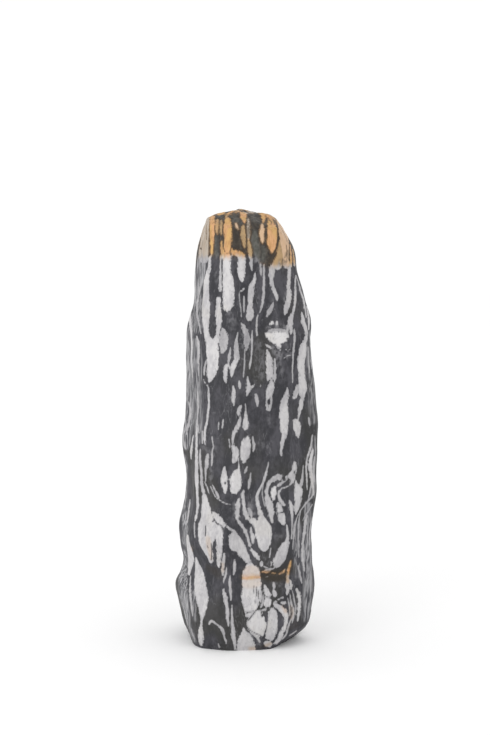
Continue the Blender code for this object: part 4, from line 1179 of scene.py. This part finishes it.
def darkGround(board, look):
    # clouds, mottling, an olive cast in places, fine veins and specks
    place = board.place
    clouded = board.mottle * look["mottleShare"] + board.clouds * look["cloudShare"]
    dark = board.blend(board.rise(clouded, *look["darkLimits"]), look["dark"], look["darkLight"])
    dark = board.blend(board.patches(place, *look["oliveCast"]) * look["oliveShare"], dark, look["olive"])
    veins = board.vein(place, *look["darkVein"]) * board.patches(place, *look["veined"])
    dark = board.blend(veins * look["darkVeinShare"], dark, look["smoke"])
    dark = board.blend(board.patches(place, *look["specks"]) * look["speckShare"], dark, look["speck"])
    dark = board.blend(board.smoke * board.rise(board.mottle, *look["smokeLimits"]), dark, look["smoke"])
    lamina = board.blend(board.rise(board.layers, *look["laminaLimits"]), look["lamDark"], look["lamLight"])
    return board.blend(board.layer("laminae"), dark, lamina)


def calciteBands(board, look):
    # grey at their rims, clouded and faintly cracked within
    place = board.place
    clouded = board.clouds * look["cloudShare"] + board.mottle * look["mottleShare"]
    white = board.blend(board.rise(clouded, *look["whiteLimits"]), look["whiteGrey"], look["white"])
    white = board.blend(board.patches(place, *look["creamCast"]) * look["creamShare"], white, look["cream"])
    pale = board.blend(board.rise(board.mottle, *look["paleLimits"]), look["pale"], look["paleLight"])
    light = board.blend(board.tone, pale, white)
    rim = 1 - board.rise(board.depth, *look["rimDepth"])
    light = board.blend(rim * look["rimShare"], light, look["rim"])
    return board.blend(board.vein(place, *look["lightVein"]) * look["lightVeinShare"], light, look["smoke"])


def stainedLight(board, look, light):
    # clear ochre on white bands and beige on grey ones
    ochre = board.blend(board.patches(board.place, *look["pinkCast"]), look["ochrePink"], look["ochre"])
    ochre = board.blend(board.patches(board.place, *look["flecks"]), ochre, look["ochreDeep"])
    streaks = board.rise(board.layers, *look["streakLimits"])
    rusty = board.blend(streaks * look["beigeStreaks"], look["greyBeige"], look["beigeStreak"])
    ladder = (("peachTones", look["peach"]), ("dullTones", look["dullOchre"]), ("ochreTones", ochre))
    for tones, colour in ladder:
        rusty = board.blend(board.rise(board.tone, *look[tones]), rusty, colour)
    rusty = board.blend(streaks * look["ochreStreaks"], rusty, look["ochreDeep"])
    rim = 1 - board.rise(board.depth, *look["stainRim"])
    rusty = board.blend(rim * look["stainRimShare"], rusty, look["ochreRim"])
    light = board.blend(board.rust * look["stainShare"], light, rusty)
    # grime and painted shade darken the light bands
    grimeAndShadeShare = board.grimeAndShadeShare * board.rise(board.mottle, *look["grimeAndShadeLimits"])
    return board.blend(grimeAndShadeShare * look["grimeAndShadeOnLight"], light, look["brownLight"])


def stainedDark(board, look, dark):
    # near black, with a rusty glow beside the bands
    soot = board.blend(board.rise(board.mottle, *look["sootLimits"]), look["brown"], look["brownLight"])
    soot = board.blend(board.smoke * look["sootSmoke"], soot, look["greenGrey"])
    dark = board.blend(board.rust * look["sootShare"], dark, soot)
    glow = board.rise(board.depth, *look["rustRimDepth"]) * board.rust
    dark = board.blend(glow * look["rustRimShare"], dark, look["rustRim"])
    # grime and painted shade darken the dark ground
    return board.blend(board.grimeAndShadeShare * look["grimeAndShadeOnDark"], dark, look["grimeAndShade"])


def bandedMarble():
    board, look = MarbleBoard(), marbleLook
    soft = board.rust * look["stainedSoft"] + look["edgeSoft"]
    pure = board.rise(board.depth, 0 - soft, soft)
    dark = stainedDark(board, look, darkGround(board, look))
    light = stainedLight(board, look, calciteBands(board, look))
    colour = board.blend(pure, dark, light)
    spread = look["roughHigh"] - look["roughLow"]
    rough = board.grain(board.place, *look["roughness"]) * spread + look["roughLow"]
    height = board.grain(board.place, *look["bumps"]) * look["bumpShare"]
    height = height + board.grain(board.place, *look["fineBumps"]) * look["fineShare"]
    bump = board.add("ShaderNodeBump", {}, {
        "Strength": look["bump"], "Distance": look["bumpReach"], "Height": height})
    shader = board.add("ShaderNodeBsdfPrincipled", {}, {
        "Base Color": colour, "Roughness": rough, "Normal": bump, "Specular IOR Level": look["specular"]})
    board.add("ShaderNodeOutputMaterial", {}, {"Surface": shader})
    return board.material


studio = {
    "floorReach": 60, "floorCorners": 96, "floor": (0.985, 0.985, 0.985, 1), "world": 1.035,
    "keyPower": 42, "keySize": 2.4, "keyPlace": (-2.4, -3.2, 0.95), "keyAim": (0, 0, 0.22),
    "eye": (-0.002, -3.6, 1.05), "aim": (-0.002, 0, 0.6365), "lens": 77.05, "sensor": 36, "farthest": 500,
}


def plainFloor():
    corners, reach = studio["floorCorners"], studio["floorReach"]
    bpy.ops.mesh.primitive_circle_add(vertices=corners, radius=reach, fill_type="NGON")
    floor = bpy.context.object
    floor.name = "floor"
    board = Board("floor_paper")
    shader = board.add("ShaderNodeBsdfPrincipled", {}, {
        "Base Color": studio["floor"], "Roughness": 1.0, "Specular IOR Level": 0.0})
    board.add("ShaderNodeOutputMaterial", {}, {"Surface": shader})
    floor.data.materials.append(board.material)


def addAimed(name, data, place, target):
    # a light or camera that looks at the target
    thing = bpy.data.objects.new(name, data)
    thing.location = place
    thing.rotation_euler = (Vector(target) - thing.location).to_track_quat("-Z", "Y").to_euler()
    bpy.context.scene.collection.objects.link(thing)
    return thing


def softLight():
    world = bpy.data.worlds.new("studio")
    bpy.context.scene.world = world
    world.use_nodes = True
    back = world.node_tree.nodes["Background"]
    back.inputs["Color"].default_value = (1, 1, 1, 1)
    back.inputs["Strength"].default_value = studio["world"]
    data = bpy.data.lights.new("key", "AREA")
    data.energy = studio["keyPower"]
    data.size = studio["keySize"]
    addAimed("key", data, studio["keyPlace"], studio["keyAim"])


def aimCamera():
    data = bpy.data.cameras.new("camera")
    data.lens = studio["lens"]
    data.sensor_width = studio["sensor"]
    data.clip_end = studio["farthest"]
    bpy.context.scene.camera = addAimed("camera", data, studio["eye"], studio["aim"])


def makeStone():
    tree = roundedStone()
    stone = buildSkin(tree)
    print("skin built:", len(stone.data.vertices), "points")
    values = paintStone(stone, tree)
    print("marks laid:", len(frontMarks), "on the front")
    weatherStone(stone, values)
    stone.data.polygons.foreach_set("use_smooth", [True] * len(stone.data.polygons))
    stone.data.set_sharp_from_angle(angle=math.radians(skin["crease"]))
    stone.data.materials.append(bandedMarble())
    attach(stone, "root")
    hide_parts("monolith")
    print("stone finished")


aimCamera()
makeStone()
plainFloor()
softLight()
bpy.context.scene.view_settings.view_transform = "Standard"
